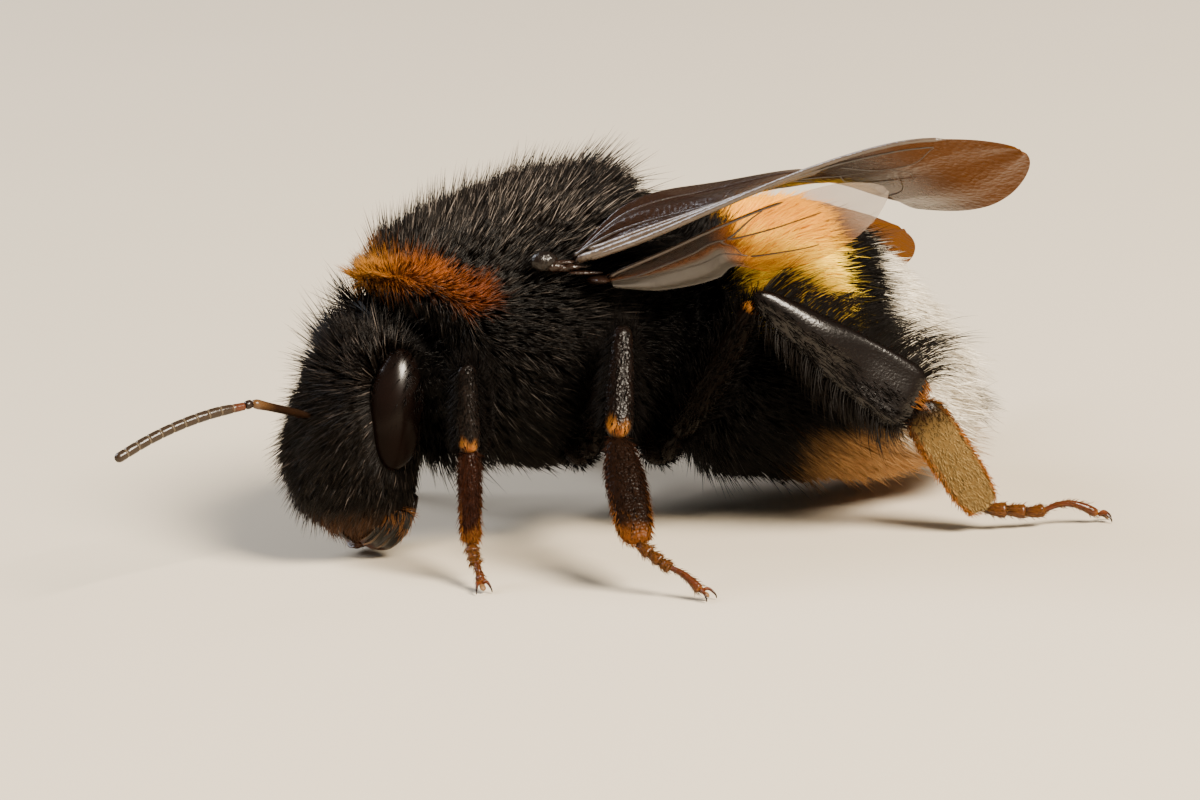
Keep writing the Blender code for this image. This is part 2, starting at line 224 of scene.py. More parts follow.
# ---- Trunk skin --------------------------------------------------------------------------------
# The thorax is one hard black box and the abdomen six overlapping hoops of black cuticle, joined by
# a narrow waist. The skin lies under the frame's outer form by the depth of the coat.
THORAX = (
    (-8.00, 2.40, -8.00, 1.62, 0.8),
    (-7.45, 2.95, -7.25, 1.15, 2.1),
    (-6.45, 3.65, -5.9, -0.1, 3.1),
    (-5.0, 4.40, -5.25, -2.4, 3.8),
    (-3.4, 5.00, -4.1, -3.3, 4.1),
    (-1.9, 5.28, -2.6, -3.5, 4.15),
    (-0.6, 5.10, -1.0, -3.2, 3.8),
    (0.20, 4.30, 0.05, -2.3, 2.9),
    (0.42, 3.30, 0.40, -1.1, 1.9),
)
ABDOMEN = (
    (0.72, 2.50, 0.68, -1.2, 1.9),
    (1.30, 3.45, 1.00, -2.5, 3.4),
    (2.60, 4.05, 2.00, -3.4, 4.4),
    (4.40, 4.13, 3.60, -3.65, 4.8),
    (6.20, 3.30, 5.20, -3.72, 4.7),
    (7.90, 1.90, 6.80, -3.70, 4.2),
    (9.05, 0.20, 8.00, -3.30, 3.3),
    (9.56, -1.00, 8.90, -2.80, 2.0),
    (9.66, -1.75, 9.35, -2.35, 0.7),
)


def rows_at(rows, places):
    """Rows between the given ones, on a smooth curve through them (Catmull-Rom)."""
    rows = np.asarray(rows, float)
    padded = np.vstack([2 * rows[0] - rows[1], rows, 2 * rows[-1] - rows[-2]])
    places = np.asarray(places, float)
    low = np.clip(places.astype(int), 0, len(rows) - 2)
    t = (places - low)[..., None]
    before, start, end, after = (padded[low + k] for k in range(4))
    return 0.5 * (2 * start + (end - before) * t + (2 * before - 5 * start + 4 * end - after) * t ** 2
                  + (3 * start - before - 3 * end + after) * t ** 3)


def profile(table, places):
    """The value at each place of a table of (place, value) rows, joined smoothly."""
    table = np.asarray(table, float)
    spread = np.interp(places, table[:, 0], np.arange(len(table)))
    return rows_at(table, spread)[..., 1]


def step(low, high, value):
    """0 below low, 1 above high, and a smooth rise between."""
    t = np.clip((value - low) / (high - low), 0, 1)
    return t * t * (3 - 2 * t)


def closing(u):
    """How wide a form is for its rows: it narrows to a tenth over the last fiftieth of u at both ends."""
    return np.sqrt(np.clip(np.minimum(u, 1 - u) / 0.02, 0.01, 1))


def upright_form(rows):
    """Surface of u, front to back, and v, round from the top: ovals between top and bottom points."""
    def surface(u, v):
        top_x, top_z, bottom_x, bottom_z, side = np.moveaxis(rows_at(rows, u * (len(rows) - 1)), -1, 0)
        rise, spread = closing(u) * np.cos(v), closing(u) * np.sin(v)
        return np.stack([(top_x + bottom_x) / 2 + rise * (top_x - bottom_x) / 2, spread * side,
                         (top_z + bottom_z) / 2 + rise * (top_z - bottom_z) / 2], -1)
    return surface


def differences(surface, u, v):
    """Small steps on a surface along u and round v."""
    small = 1e-3
    return (surface(np.clip(u + small, 0, 1), v) - surface(np.clip(u - small, 0, 1), v),
            surface(u, v + small) - surface(u, v - small))


def slopes(surface, u, v):
    """Unit vectors along u, round v and outwards."""
    along, round_ = differences(surface, u, v)
    out = np.cross(along, round_)
    middle = 0.5 * (surface(u, v) + surface(u, v + math.pi))
    out *= np.sign(np.sum(out * (surface(u, v) - middle), -1, keepdims=True))
    return unit(along), unit(round_), unit(out)


def beneath(surface, depth):
    """The surface that lies a depth, itself a function of u and v, under another."""
    def under(u, v):
        return surface(u, v) - slopes(surface, u, v)[2] * depth(u, v)[..., None]
    return under


def closed_grid(surface, rows, sides):
    """Points and faces of a surface: rings of v along u, with a fan to a middle point at both ends."""
    u, v = (places[:-2].reshape(rows, sides) for places in grid_places(rows, sides))
    rings = surface(u, v)
    points = np.vstack([rings.reshape(-1, 3), rings[0].mean(0), rings[-1].mean(0)])
    edge = np.arange(sides)
    after = (edge + 1) % sides
    starts = sides * np.arange(rows - 1)[:, None]
    here, beside = starts + edge, starts + after
    quads = np.stack([here, beside, beside + sides, here + sides], -1).reshape(-1, 4).tolist()
    last = (rows - 1) * sides
    first_fan = np.stack([after, edge, np.full(sides, rows * sides)], -1).tolist()
    last_fan = np.stack([last + edge, last + after, np.full(sides, rows * sides + 1)], -1).tolist()
    return points, quads + first_fan + last_fan


def grid_places(rows, sides):
    """u and v of every point of a closed grid, the two middle points last."""
    u, v = np.meshgrid(np.linspace(0, 1, rows), np.linspace(-math.pi, math.pi, sides, endpoint=False),
                       indexing="ij")
    return np.append(u, (0, 1)), np.append(v, (-math.pi, -math.pi))


def facing_out(data):
    """Turns a closed mesh the right way if its faces point inwards."""
    data.calc_loop_triangles()
    corners = np.empty((len(data.loop_triangles), 3), np.int32)
    data.loop_triangles.foreach_get("vertices", corners.ravel())
    points = np.empty((len(data.vertices), 3))
    data.vertices.foreach_get("co", points.ravel())
    if np.linalg.det(points[corners] / MM).sum() < 0:
        data.flip_normals()
    return data


def paint(obj, name, colours):
    """Stores a linear colour for each point of a mesh, or one hex colour for all, with alpha if given."""
    layer = obj.data.attributes.new(name, "FLOAT_COLOR", "POINT")
    if isinstance(colours, str):
        colours = np.tile(tone(colours), (len(obj.data.vertices), 1))
    if colours.shape[1] == 3:
        colours = np.column_stack([colours, np.ones(len(colours))])
    layer.data.foreach_set("color", colours.astype(np.float32).ravel())


def piece(name, points, faces, finish, colours, slot, replaced=()):
    """A closed mesh of points of the level body, painted and riding on the bee."""
    obj = shown(name, facing_out(mesh_of(name, on_floor(points), faces)), finish)
    paint(obj, "marks", colours)
    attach(obj, "root")
    if replaced:
        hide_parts(*replaced)
    return obj


def thorax_depth(u, v):
    """Coat depth on the thorax: 0.95 mm above, 0.77 at the sides, 0.45 below, and less by the waist."""
    return 0.45 + 0.5 * step(-0.9, 0.6, np.cos(v)) - 0.25 * step(0.93, 1.0, u)


def abdomen_depth(u, v):
    """Coat depth on the abdomen: 0.7 mm in front, 0.5 midway, 0.65 on the tail; three fifths below."""
    upper = 0.5 + 0.2 * step(0.35, 0.1, u) + 0.15 * step(0.55, 0.75, u)
    return upper * (0.6 + 0.4 * step(-0.8, 0.2, np.cos(v)))


thorax_form = upright_form(THORAX)
abdomen_form = upright_form(ABDOMEN)
thorax_skin = beneath(thorax_form, thorax_depth)
neck_skin = upright_form(((-7.95, 1.15, -7.4, -1.2, 0.7), (-7.5, 1.45, -6.7, -2.2, 1.5),
                          (-6.6, 1.40, -5.9, -2.7, 2.1), (-5.6, 1.10, -5.1, -2.9, 2.5),
                          (-4.8, 0.90, -4.4, -2.8, 2.6)))
waist_skin = upright_form(((-0.7, 3.6, -0.9, -2.3, 2.9), (0.2, 3.5, 0.1, -2.2, 2.9),
                           (0.9, 3.3, 0.8, -2.3, 3.0), (1.7, 3.3, 1.4, -2.5, 3.3)))
abdomen_skin = beneath(abdomen_form, abdomen_depth)

BLACK = "#060403"
OCHRE = "#763c07"
RUST = "#5f2a03"
AMBER = "#9a6a1c"
YELLOW = "#ffd638"
GOLD_AND_SHADE = "#f0a40c"
WHITE = "#e4dccb"
BUFF = "#c4955f"
COLLAR_TOP = ((-8.3, 2.55), (-7.4, 2.85), (-6.2, 2.90), (-5.2, 2.60), (-4.2, 2.20), (-3.8, 1.80))
COLLAR_FOOT = ((-8.3, 1.22), (-7.3, 1.52), (-6.2, 1.72), (-5.2, 1.50), (-4.5, 1.40), (-3.8, 1.50))


def thorax_marks(points, shift=0.0):
    """Colour at points of the thorax: black, with a collar across its front, ochre and paler ahead."""
    x, _, z = points.T
    height = z + 0.8 * shift
    top, foot = (profile(edge, np.clip(x, -8.3, -3.8)) for edge in (COLLAR_TOP, COLLAR_FOOT))
    collar = step(foot - 0.22, foot + 0.18, height) * step(top + 0.22, top - 0.18, height)
    collar = collar * step(-3.95, -4.6, x + shift)
    band = blend(OCHRE, RUST, step(-6.0, -4.6, x + shift))
    band = blend(band, AMBER, 0.75 * step(-6.3, -7.9, x + 0.6 * shift))
    return blend(BLACK, band, collar)


def abdomen_marks(points, shift=0.0):
    """Colour at points of the abdomen: black, a yellow second hoop with painted shade on it, buff below, a
    dark-tipped white tail.
    """
    x, _, z = points.T
    along = x + 0.10 * (z - 1.5) * step(-4, 3, z) + shift
    # The yellow stops between z 0.6 and 1.7 on the side; the black below stands for the hind leg's shadow,
    # painted shadow.
    yellow = step(2.0, 2.35, along) * step(5.35, 5.05, along) * step(0.6, 1.7, z + shift)
    white = step(6.35, 6.75, along) * step(-3.2, -2.2, z + 0.2 * shift)
    buff = step(3.5, 5.6, along) * step(-1.8, -2.6, z)
    tip = step(9.15, 9.55, x)
    # Higher up the yellow turns a darker, deeper gold: partly the hair's own gold, partly painted shade where
    # the wings lie over it.
    colours = blend(BLACK, blend(YELLOW, GOLD_AND_SHADE, step(2.7, 3.9, z)), yellow)
    colours = blend(colours, WHITE, white * (1 - 0.8 * tip))
    return blend(colours, BUFF, 0.85 * buff * (1 - white))


def cuticle():
    """Black insect cuticle: hard, faintly punctured all over, dull between the roots of the coat."""
    add, finish = material("black cuticle")
    pits = add("TexVoronoi", {"Vector": add("TexCoord").outputs["Object"], "Scale": 16000.0})
    relief = add("Bump", {"Height": pits, "Strength": 0.4, "Distance": 1e-5})
    marks = add("VertexColor", layer_name="marks")
    shade = add("MixRGB", {"Fac": 0.55, "Color1": marks, "Color2": linear(BLACK)})
    return finish({"Base Color": shade, "Roughness": 0.5, "Specular IOR Level": 0.08, "Normal": relief})


cuticle_finish = cuticle()


def add_trunk_skin():
    """Thorax and abdomen as closed lofts, and plain ones for the neck and for the waist between them."""
    hoops = ["abdomen_%d" % number for number in range(1, 7)]
    for name, surface, marks, rows, sides, replaced in (
            ("thorax", thorax_skin, thorax_marks, 90, 96, ["thorax"]),
            ("waist", waist_skin, None, 16, 48, ()),
            ("neck", neck_skin, None, 20, 40, ()),
            ("abdomen", abdomen_skin, abdomen_marks, 100, 96, hoops)):
        points, faces = closed_grid(surface, rows, sides)
        piece("skin_" + name, points, faces, cuticle_finish, marks(points) if marks else BLACK, "black_coat",
              replaced)


add_trunk_skin()

# ---- Coat of the trunk -------------------------------------------------------------------------
# Every hair is one tapered, bent spike of three sides. On the thorax they stand like a clipped mane
# and lean back; on the abdomen they lie flatter and point to the tail, longest on the white tip.
HAIRS_IN_A_PIECE = 21500
UV_PATCH = 0.003
GUARD_SHARE = 0.12
GUARD_LENGTH = 1.5
TUFT_SIZE = 0.30
TUFT_PULL = 0.42
TAPER = 0.56
PALE_HAIR = (0.25, 0.75)
# Painted shade and light along each hair: roots darkened as the coat's own shade and tips lightened as a
# painted highlight, by these factors on black hair and on pale hair.
ROOT_PAINTED_SHADE = (0.70, 0.98)
TIP_PAINTED_LIGHT = (1.20, 1.05)
THORAX_HAIRS = 46200
ABDOMEN_HAIRS = 46000
HEAD_HAIRS = 20500


def ripple(points, size, seed):
    """Smooth noise from about -1 to 1 over patches of a given size: a sum of eight turned waves."""
    chance = np.random.default_rng(seed)
    waves = chance.normal(size=(8, 3))
    waves *= (2 * math.pi / size) / np.linalg.norm(waves, axis=1)[:, None] * chance.uniform(0.6, 1.4, (8, 1))
    return np.sin(points @ waves.T + chance.uniform(0, 2 * math.pi, 8)).sum(1) / 3.0


def scatter(surface, count, seed, density=None, reach=(0.0, 1.0)):
    """Random (u, v) places spread evenly over a surface's area, thinned where density is low."""
    chance = np.random.default_rng(seed)
    u = chance.uniform(*reach, count * 5)
    v = chance.uniform(-math.pi, math.pi, count * 5)
    weight = np.linalg.norm(np.cross(*differences(surface, u, v)), axis=1)
    if density is not None:
        weight = weight * density(u, v, surface(u, v))
    chosen = chance.choice(len(u), size=count, replace=False, p=weight / weight.sum())
    return u[chosen], v[chosen]


def hair_mesh(name, roots, first, second, radii, colours, places, finish, rings=2):
    """Joined spikes: three sides from ring to ring along a bent line, and on to a point.

    first and second are the vectors from root to bend and from bend to tip. With two rings the line
    turns at the bend; with more it is the parabola that leaves along first and arrives along second.
    """
    count = len(roots)
    across = unit(np.cross(first, np.roll(first, 1, axis=1) + 0.37))
    other = unit(np.cross(first, across))
    turn = np.arange(3) * 2 * math.pi / 3
    ring = np.cos(turn)[None, :, None] * across[:, None, :] + np.sin(turn)[None, :, None] * other[:, None, :]
    levels = []
    for number in range(rings):
        t = number / rings
        centre = roots + (t * 2 if rings == 2 else 2 * t * (1 - t) + t * t) * first
        centre = centre + (0 if rings == 2 else t * t) * second - (0.06 * first if number == 0 else 0)
        levels.append(centre[:, None, :] + ring * ((1 - TAPER * t) * radii)[:, None, None])
    tip = (roots + first + second)[:, None, :]
    points = on_floor(np.concatenate(levels + [tip], axis=1).reshape(-1, 3))
    top = 3 * rings - 3
    sides = [c + 3 * k for k in range(rings - 1) for c in (0, 1, 4, 3, 1, 2, 5, 4, 2, 0, 3, 5)]
    sides = np.array(sides + [top, top + 1, top + 3, top + 1, top + 2, top + 3, top + 2, top, top + 3])
    quad_corners = 12 * (rings - 1)
    first_corners = np.concatenate([np.arange(0, quad_corners, 4), quad_corners + np.array([0, 3, 6])])
    corners = (np.arange(count)[:, None] * (3 * rings + 1) + sides).ravel()
    starts = (np.arange(count)[:, None] * len(sides) + first_corners).ravel()
    data = bpy.data.meshes.new(name)
    data.vertices.add(len(points))
    data.vertices.foreach_set("co", points.astype(np.float32).ravel())
    data.loops.add(len(corners))
    data.loops.foreach_set("vertex_index", corners.astype(np.int32))
    data.polygons.add(len(starts))
    data.polygons.foreach_set("loop_start", starts.astype(np.int32))
    data.update(calc_edges=True)
    share = np.arange(rings) / rings
    patch = np.array([(x, y) for y in share for x in (0.0, 0.5, 1.0)] + [(0.5, 1.0)]) * UV_PATCH
    map_ = (np.asarray(places)[:, None, :] + patch[None]).reshape(-1, 2)[corners]
    data.uv_layers.new(name="OFBake").data.foreach_set("uv", map_.astype(np.float32).ravel())
    obj = shown(name, data, finish)
    shades = np.repeat(colours[:, None, :], 3 * rings + 1, axis=1)
    # Painted shade on the three root points and a painted highlight on the tip.
    pale = step(*PALE_HAIR, colours[:, 0])[:, None, None]
    for part, (on_black, on_pale) in ((slice(3), ROOT_PAINTED_SHADE), (slice(-1, None), TIP_PAINTED_LIGHT)):
        shades[:, part] *= on_black + (on_pale - on_black) * pale
    paint(obj, "marks", shades.reshape(-1, 3))
    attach(obj, "root")
    return obj


def tufted(roots, tips, size, seed):
    """For each hair, the way from its tip to the middle of the tips in its tuft of a given size."""
    bent = roots + 0.4 * size * np.stack([ripple(roots, 3 * size, seed + k) for k in range(3)], -1)
    _, tuft = np.unique(np.floor(bent / size).astype(np.int64), axis=0, return_inverse=True)
    tuft = tuft.reshape(-1)
    middle = np.stack([np.bincount(tuft, tips[:, k]) for k in range(3)], -1) / np.bincount(tuft)[:, None]
    return middle[tuft] - tips


def hairs(surface, u, v, seed, length, lift, sway=0.0, bend=0.1, radius=0.016, colour=BLACK,
          pull=None, tile=(0.0, 0.0, 1.0), tuft=TUFT_PULL, stray=1.0):
    """Hairs rooted at (u, v): root, two lengths, radius, colour and place on the coat's map.

    lift is the angle off the skin, sway the turn from along u towards v, bend how far the outer half
    droops back along the skin, pull a vector added to the direction, tile the corner and side of the
    square that the surface takes on the map, tuft how far the tips of neighbours draw together, and
    stray how much each one differs from its neighbours.
    """
    chance = np.random.default_rng(seed)
    count = len(u)
    roots = surface(u, v)
    along, round_, out = slopes(surface, u, v)
    sway = sway + stray * (0.18 * ripple(roots, 0.9, seed) + chance.normal(0, 0.16, count))
    lift = lift + stray * (0.10 * ripple(roots, 0.7, seed + 1) + chance.normal(0, 0.10, count))
    lie = np.cos(sway)[:, None] * along + np.sin(sway)[:, None] * round_
    up = np.cos(lift)[:, None] * lie + np.sin(lift)[:, None] * out
    if pull is not None:
        up = unit(up + pull)
    length = length * chance.uniform(0.75, 1.15, count) * (1 + 0.10 * ripple(roots, 1.3, seed + 2))
    guard = chance.uniform(size=count) < GUARD_SHARE
    length = length * np.where(guard, 1 + (GUARD_LENGTH - 1) * stray, 1.0)
    first = up * (0.5 * length)[:, None]
    drooped = up + np.broadcast_to(bend, count)[:, None] * lie + chance.normal(0, 0.10, up.shape)
    second = unit(drooped) * (0.5 * length)[:, None]
    drawn = tufted(roots, roots + first + second, TUFT_SIZE, seed + 3) * (tuft * ~guard)[:, None]
    first, second = first + 0.35 * drawn, second + 0.65 * drawn
    radii = radius * chance.uniform(0.8, 1.2, count)
    colours = (tone(colour) if isinstance(colour, str) else colour) * chance.uniform(0.75, 1.25, (count, 1))
    places = np.column_stack([u, v / (2 * math.pi) + 0.5]) * 0.98 * tile[2] + np.array(tile[:2])
    return roots, first, second, radii, colours, places


def coat(name, batches, rings=2, finish=None):
    """Joins batches of hairs into pieces small enough for the library."""
    whole = [np.concatenate(column) for column in zip(*batches)]
    pieces = -(-len(whole[0]) // HAIRS_IN_A_PIECE)
    for number in range(pieces):
        piece_name = name if pieces == 1 else "%s_%d" % (name, number + 1)
        columns = [column[number::pieces] for column in whole]
        obj = hair_mesh(piece_name, *columns, finish or hair_finish, rings)


def hair(name, rough, shine):
    """Insect hair: thin chitin, coloured through, with a narrow silky shine along each hair."""
    add, finish = material(name)
    marks = add("VertexColor", layer_name="marks")
    return finish({"Base Color": marks, "Roughness": rough, "Specular IOR Level": shine})


hair_finish = hair("bee hair", 0.42, 0.14)


def add_thorax_coat():
    """Upright mane on the back, flatter on the sides, with the collar in front, and the neck's tuft."""
    def density(u, v, points):
        x, _, z = points.T
        collar = step(0.9, 1.4, z) * step(3.0, 2.5, z) * step(-3.6, -4.4, x)
        return (0.25 + 0.75 * step(-0.8, -0.1, np.cos(v))) * (1 + 0.9 * step(0.20, 0.04, u) + 1.1 * collar)
    u, v = scatter(thorax_skin, THORAX_HAIRS, 11, density)
    points = thorax_form(u, v)
    chance = np.random.default_rng(12)
    top = step(-0.6, 0.6, np.cos(v))
    rear = step(0.55, 0.9, u)
    length = 0.60 + 0.42 * top + 0.50 * rear * top + 0.15 * step(0.16, 0.05, u) * (1 - top)
    lift = 0.75 + 0.35 * top - 0.05 * rear
    colours = thorax_marks(points + np.array([0.45, 0, 0.1]), chance.normal(0, 0.10, len(u)))
    silky = step(0.02, 0.10, colours[:, 0])
    ahead = step(0.22, 0.02, u) * step(-0.9, 0.2, np.cos(v))
    rise = -0.3 + 0.75 * step(0.2, 1.3, points[:, 2])
    pull = np.stack([-0.65 * ahead, 0 * u, rise * ahead + 0.40 * silky], -1)
    # Painted light: a faint painted sheen on the lit top of the thorax, and painted glints on a few hairs,
    # most of them on the top.
    lit = step(2.6, 4.0, points[:, 2])
    painted_sheen = 0.12 * lit * step(-1.5, -3.0, points[:, 0]) * chance.uniform(size=len(u))
    painted_glint = (0.25 + 1.05 * lit) * chance.uniform(size=len(u)) ** 14
    colours = colours + painted_sheen[:, None] * tone("#2a241f") + painted_glint[:, None] * tone("#7a7068")
    batches = [hairs(thorax_skin, u, v, 13, length - 0.12 * silky, lift - 0.10 * silky,
                     0.45 * np.sin(v) * (1 - top), 0.25, 0.0185 - 0.0065 * silky, colours, pull, (0, 0, 0.7),
                     TUFT_PULL * (1 - 0.85 * silky), 1 - 0.45 * silky)]
    for place, (surface, count, size) in enumerate(((neck_skin, 4200, 0.90), (waist_skin, 5000, 0.85))):
        u, v = scatter(surface, count, 14 + place)
        forward = (step(0.35, 0.0, u) * (1 - place))[:, None] * np.array([-1.0, 0.0, 0.15])
        batches.append(hairs(surface, u, v, 16 + place, size, 1.1, pull=forward,
                             tile=(0.72, 0.72 - 0.26 * place, 0.25)))
    coat("coat_thorax", batches)


def add_abdomen_coat():
    """Hair that points to the tail, thinner on the black hoops and below, longest at the tip."""
    def density(u, v, points):
        return 0.3 + 0.7 * step(-0.9, -0.3, np.cos(v))
    u, v = scatter(abdomen_skin, ABDOMEN_HAIRS, 21, density)
    tail = step(0.55, 0.75, u)
    colours = abdomen_marks(abdomen_form(u, v), np.random.default_rng(22).normal(0, 0.14, len(u)))
    pale = step(0.15, 0.5, colours[:, 0])
    smooth = pale * (1 - tail)
    length = 0.85 + 0.30 * tail
    lift = 0.62 + 0.15 * tail - 0.08 * pale
    coat("coat_abdomen",
         [hairs(abdomen_skin, u, v, 23, length, lift, 0.0, 0.05, 0.0195, colours,
                tuft=TUFT_PULL * (1 - 0.6 * smooth), stray=1 - 0.35 * smooth)])


add_thorax_coat()
add_abdomen_coat()

# ---- Head --------------------------------------------------------------------------------------
# One hard capsule, hung under the front of the thorax and turned a little to the left: a flat crown,
# a long face with a bulging shield above the lip, and bare cheeks.
HEAD_CENTRE = np.array([-7.35, 0.0, -2.0])
HEAD_TURN = turned("Z", math.radians(13))
CAPSULE = (
    (-0.12, 0.60, 2.05, 0.5),
    (-0.42, 0.98, 1.85, 1.35),
    (-0.88, 1.15, 1.35, 1.98),
    (-1.62, 1.22, 0.40, 2.26),
    (-1.90, 1.22, -0.50, 2.22),
    (-1.76, 1.16, -1.60, 1.92),
    (-1.42, 1.05, -2.35, 1.5),
    (-0.98, 0.90, -2.82, 1.1),
    (-0.60, 0.65, -3.00, 0.65),
)
EYE_PLACE = np.array([0.12, 2.02, 0.45])
EYE_RADII = np.array([0.80, 0.64, 1.68])
EYE_LEAN = turned("Y", math.radians(5))


def on_head(points):
    """Points of the head's own frame in the level body."""
    return np.asarray(points, float) @ HEAD_TURN.T + HEAD_CENTRE


def off_head(points):
    """Points of the level body in the head's own frame."""
    return (np.asarray(points, float) - HEAD_CENTRE) @ HEAD_TURN


def level_form(rows, relief):
    """Surface of u, crown to chin, and v, round from the face: flat ovals, with relief(points) added."""
    def surface(u, v):
        front, back, height, side = np.moveaxis(rows_at(rows, u * (len(rows) - 1)), -1, 0)
        depth = closing(u) * (back - front) / 2
        local = np.stack([(front + back) / 2 - depth * np.cos(v), closing(u) * side * np.sin(v), height], -1)
        return on_head(local + relief(local)[..., None] * np.stack([-np.cos(v), np.sin(v), 0 * v], -1))
    return surface


def bump_at(points, place, radii):
    """1 at a place, falling smoothly to 0 over an ellipsoid of radii round it."""
    return np.exp(-np.sum(((points - np.array(place)) / np.array(radii)) ** 2, -1))


def right_half(points):
    """Points of the head's frame with the left ones mirrored to the right."""
    return np.where([False, True, False], np.abs(points), points)


def face_relief(points):
    """Swelling of the face shield and cheeks, a furrow under it, and dimples for the feelers."""
    mirrored = right_half(points)
    return (0.20 * bump_at(points, (-1.6, 0, -1.55), (1.0, 0.85, 0.80))
            - 0.10 * bump_at(mirrored, (-1.6, 0.55, -0.05), (1.0, 0.28, 0.28))
            - 0.06 * bump_at(points, (-1.5, 0, -2.45), (1.0, 0.9, 0.14))
            + 0.07 * bump_at(mirrored, (-0.3, 1.5, -2.0), (0.8, 0.6, 0.7)))


head_skin = level_form(CAPSULE, face_relief)


piece("skin_head", *closed_grid(head_skin, 110, 120), cuticle_finish, BLACK, "black_coat", ["head"])

# ---- Eyes --------------------------------------------------------------------------------------
# Two long compound eyes on the sides of the head, of thousands of facets 0.025 mm across that shine
# as one glossy black-brown dome, and three glassy simple eyes on the crown.
FACET = 0.025
EYE_CAP = 0.012
SIMPLE_EYES = ((-0.74, 0.0, 1.76), (-0.47, -0.34, 1.90), (-0.47, 0.34, 1.90))
SIMPLE_EYE_RADII = (0.15, 0.15, 0.13)
SIDES = (("left", -1), ("right", 1))


def eye_glass():
    """Compound eye: clear smooth lenses over dark brown, so a black gloss with a faint six-sided net."""
    add, finish = material("compound eye lenses")
    place = add("TexCoord").outputs["Object"]
    net = add("TexVoronoi", {"Vector": place, "Scale": 1 / (FACET * MM)}, feature="SMOOTH_F1")
    relief = add("Bump", {"Height": net, "Strength": 0.06, "Distance": 4e-6}, invert=True)
    depth = add("TexNoise", {"Vector": place, "Scale": 900.0, "Detail": 2.0})
    shade = add("MixRGB", {"Fac": depth, "Color1": linear("#080504"), "Color2": linear("#120906")})
    marks = add("VertexColor", layer_name="marks")
    gloss = add("Math", {0: marks.outputs["Alpha"], 1: 0.26}, operation="MULTIPLY")
    return finish({"Base Color": shade, "Roughness": 0.23, "Specular IOR Level": gloss, "Normal": relief})


eye_finish = eye_glass()


def ellipsoid(centre, radii, cap=0.015, lean=np.eye(3), place=np.asarray):
    """Ellipsoid surface: u from a small flat cap at its top to one at its bottom, and v round it."""
    def surface(u, v):
        tilt = math.pi * (cap + (1 - 2 * cap) * u)
        ball = np.stack([np.sin(tilt) * np.cos(v), np.sin(tilt) * np.sin(v), np.cos(tilt)], -1)
        return place((ball * radii) @ lean.T + centre)
    return surface


def add_eyes():
    """A compound eye a side, glossier upwards, and three small ones on the crown."""
    for side, sign in SIDES:
        form = ellipsoid(EYE_PLACE * (1, sign, 1), EYE_RADII, EYE_CAP, EYE_LEAN, on_head)
        points, faces = closed_grid(form, 48, 48)
        # Painted shade: the gloss falls away towards the bottom of each eye, so the floor's reflection there
        # stays dark.
        gloss = 0.12 + 0.88 * step(-0.9, 1.0, off_head(points)[:, 2] - EYE_PLACE[2])
        marks = np.column_stack([np.ones((len(points), 3)), gloss])
        piece("compound_eye_" + side, points, faces, eye_finish, marks, "eye", ["eye_" + side])
    for number, centre in enumerate(SIMPLE_EYES):
        grid = closed_grid(ellipsoid(centre, SIMPLE_EYE_RADII, EYE_CAP, place=on_head), 12, 16)
        piece("simple_eye_%d" % (number + 1), *grid, eye_finish, "#ffffff", "eye")


add_eyes()

# ---- Coat of the head --------------------------------------------------------------------------
# Long upright hair on the crown that meets the thorax, shorter and dense on the face, brown and
# golden round the jaws, and almost none on the cheeks beside the eyes.
def head_density(u, v, points):
    """Bare eyes, feeler sockets and shield tip; thin cheeks; dense elsewhere."""
    local = off_head(points)
    mirrored = right_half(local)
    eye = np.linalg.norm((mirrored - EYE_PLACE) @ EYE_LEAN / EYE_RADII, axis=-1)
    thick = step(0.99, 1.05, eye)
    thick = thick * (1 - 0.9 * bump_at(mirrored, (-1.6, 0.55, -0.05), (1.0, 0.20, 0.14)))
    thick = thick * (1 - 0.75 * bump_at(local, (-1.8, 0, -2.0), (1.0, 0.55, 0.50)))
    return thick * (0.25 + 0.75 * step(0.55, -0.1, -np.cos(v)))


def add_head_coat():
    """Hair by its height on the head: upright crown, flatter face, brown jaw line."""
    u, v = scatter(head_skin, HEAD_HAIRS, 31, head_density)
    x, _, z = off_head(head_skin(u, v)).T
    chance = np.random.default_rng(32)
    crown = step(0.8, 1.8, z)
    chin = step(-1.9, -2.7, z)
    front = step(-0.2, 0.8, np.cos(v))
    back = step(0.2, -0.6, np.cos(v))
    length = 0.38 + 0.30 * front + 0.70 * crown * (0.45 + 0.55 * step(-1.2, -0.4, x)) - 0.12 * chin
    lift = 0.62 + 0.30 * crown + 0.15 * front - 0.35 * chin - 0.25 * back
    ahead = (crown * step(0.2, -0.8, x))[:, None]
    pull = crown[:, None] * np.array([0.10, 0.0, 0.70]) + ahead * np.array([0.45, 0.0, -0.2])
    brown = chin * (0.15 + 0.5 * front) * chance.uniform(0, 1.2, len(u))
    # Painted glints: a few grey-white hairs scattered over the head.
    painted_glint = 0.5 * chance.uniform(size=len(u)) ** 16
    colours = blend("#0b0705", "#7a5233", np.clip(brown, 0, 0.9)) + painted_glint[:, None] * tone("#7c7068")
    sway = -0.5 * np.sin(v) * (1 - crown)
    coat("coat_head",
         [hairs(head_skin, u, v, 33, length, lift, sway, 0.10, 0.0155, colours, pull)])


add_head_coat()

# ---- Jaws, lip and tongue ----------------------------------------------------------------------
# Two spoon-shaped jaws of thick horn, grooved along their length, hang side by side under the lip;
# the tongue is folded away behind them in its brown sheath.
def nowhere(u):
    """0 at every u."""
    return 0 * u


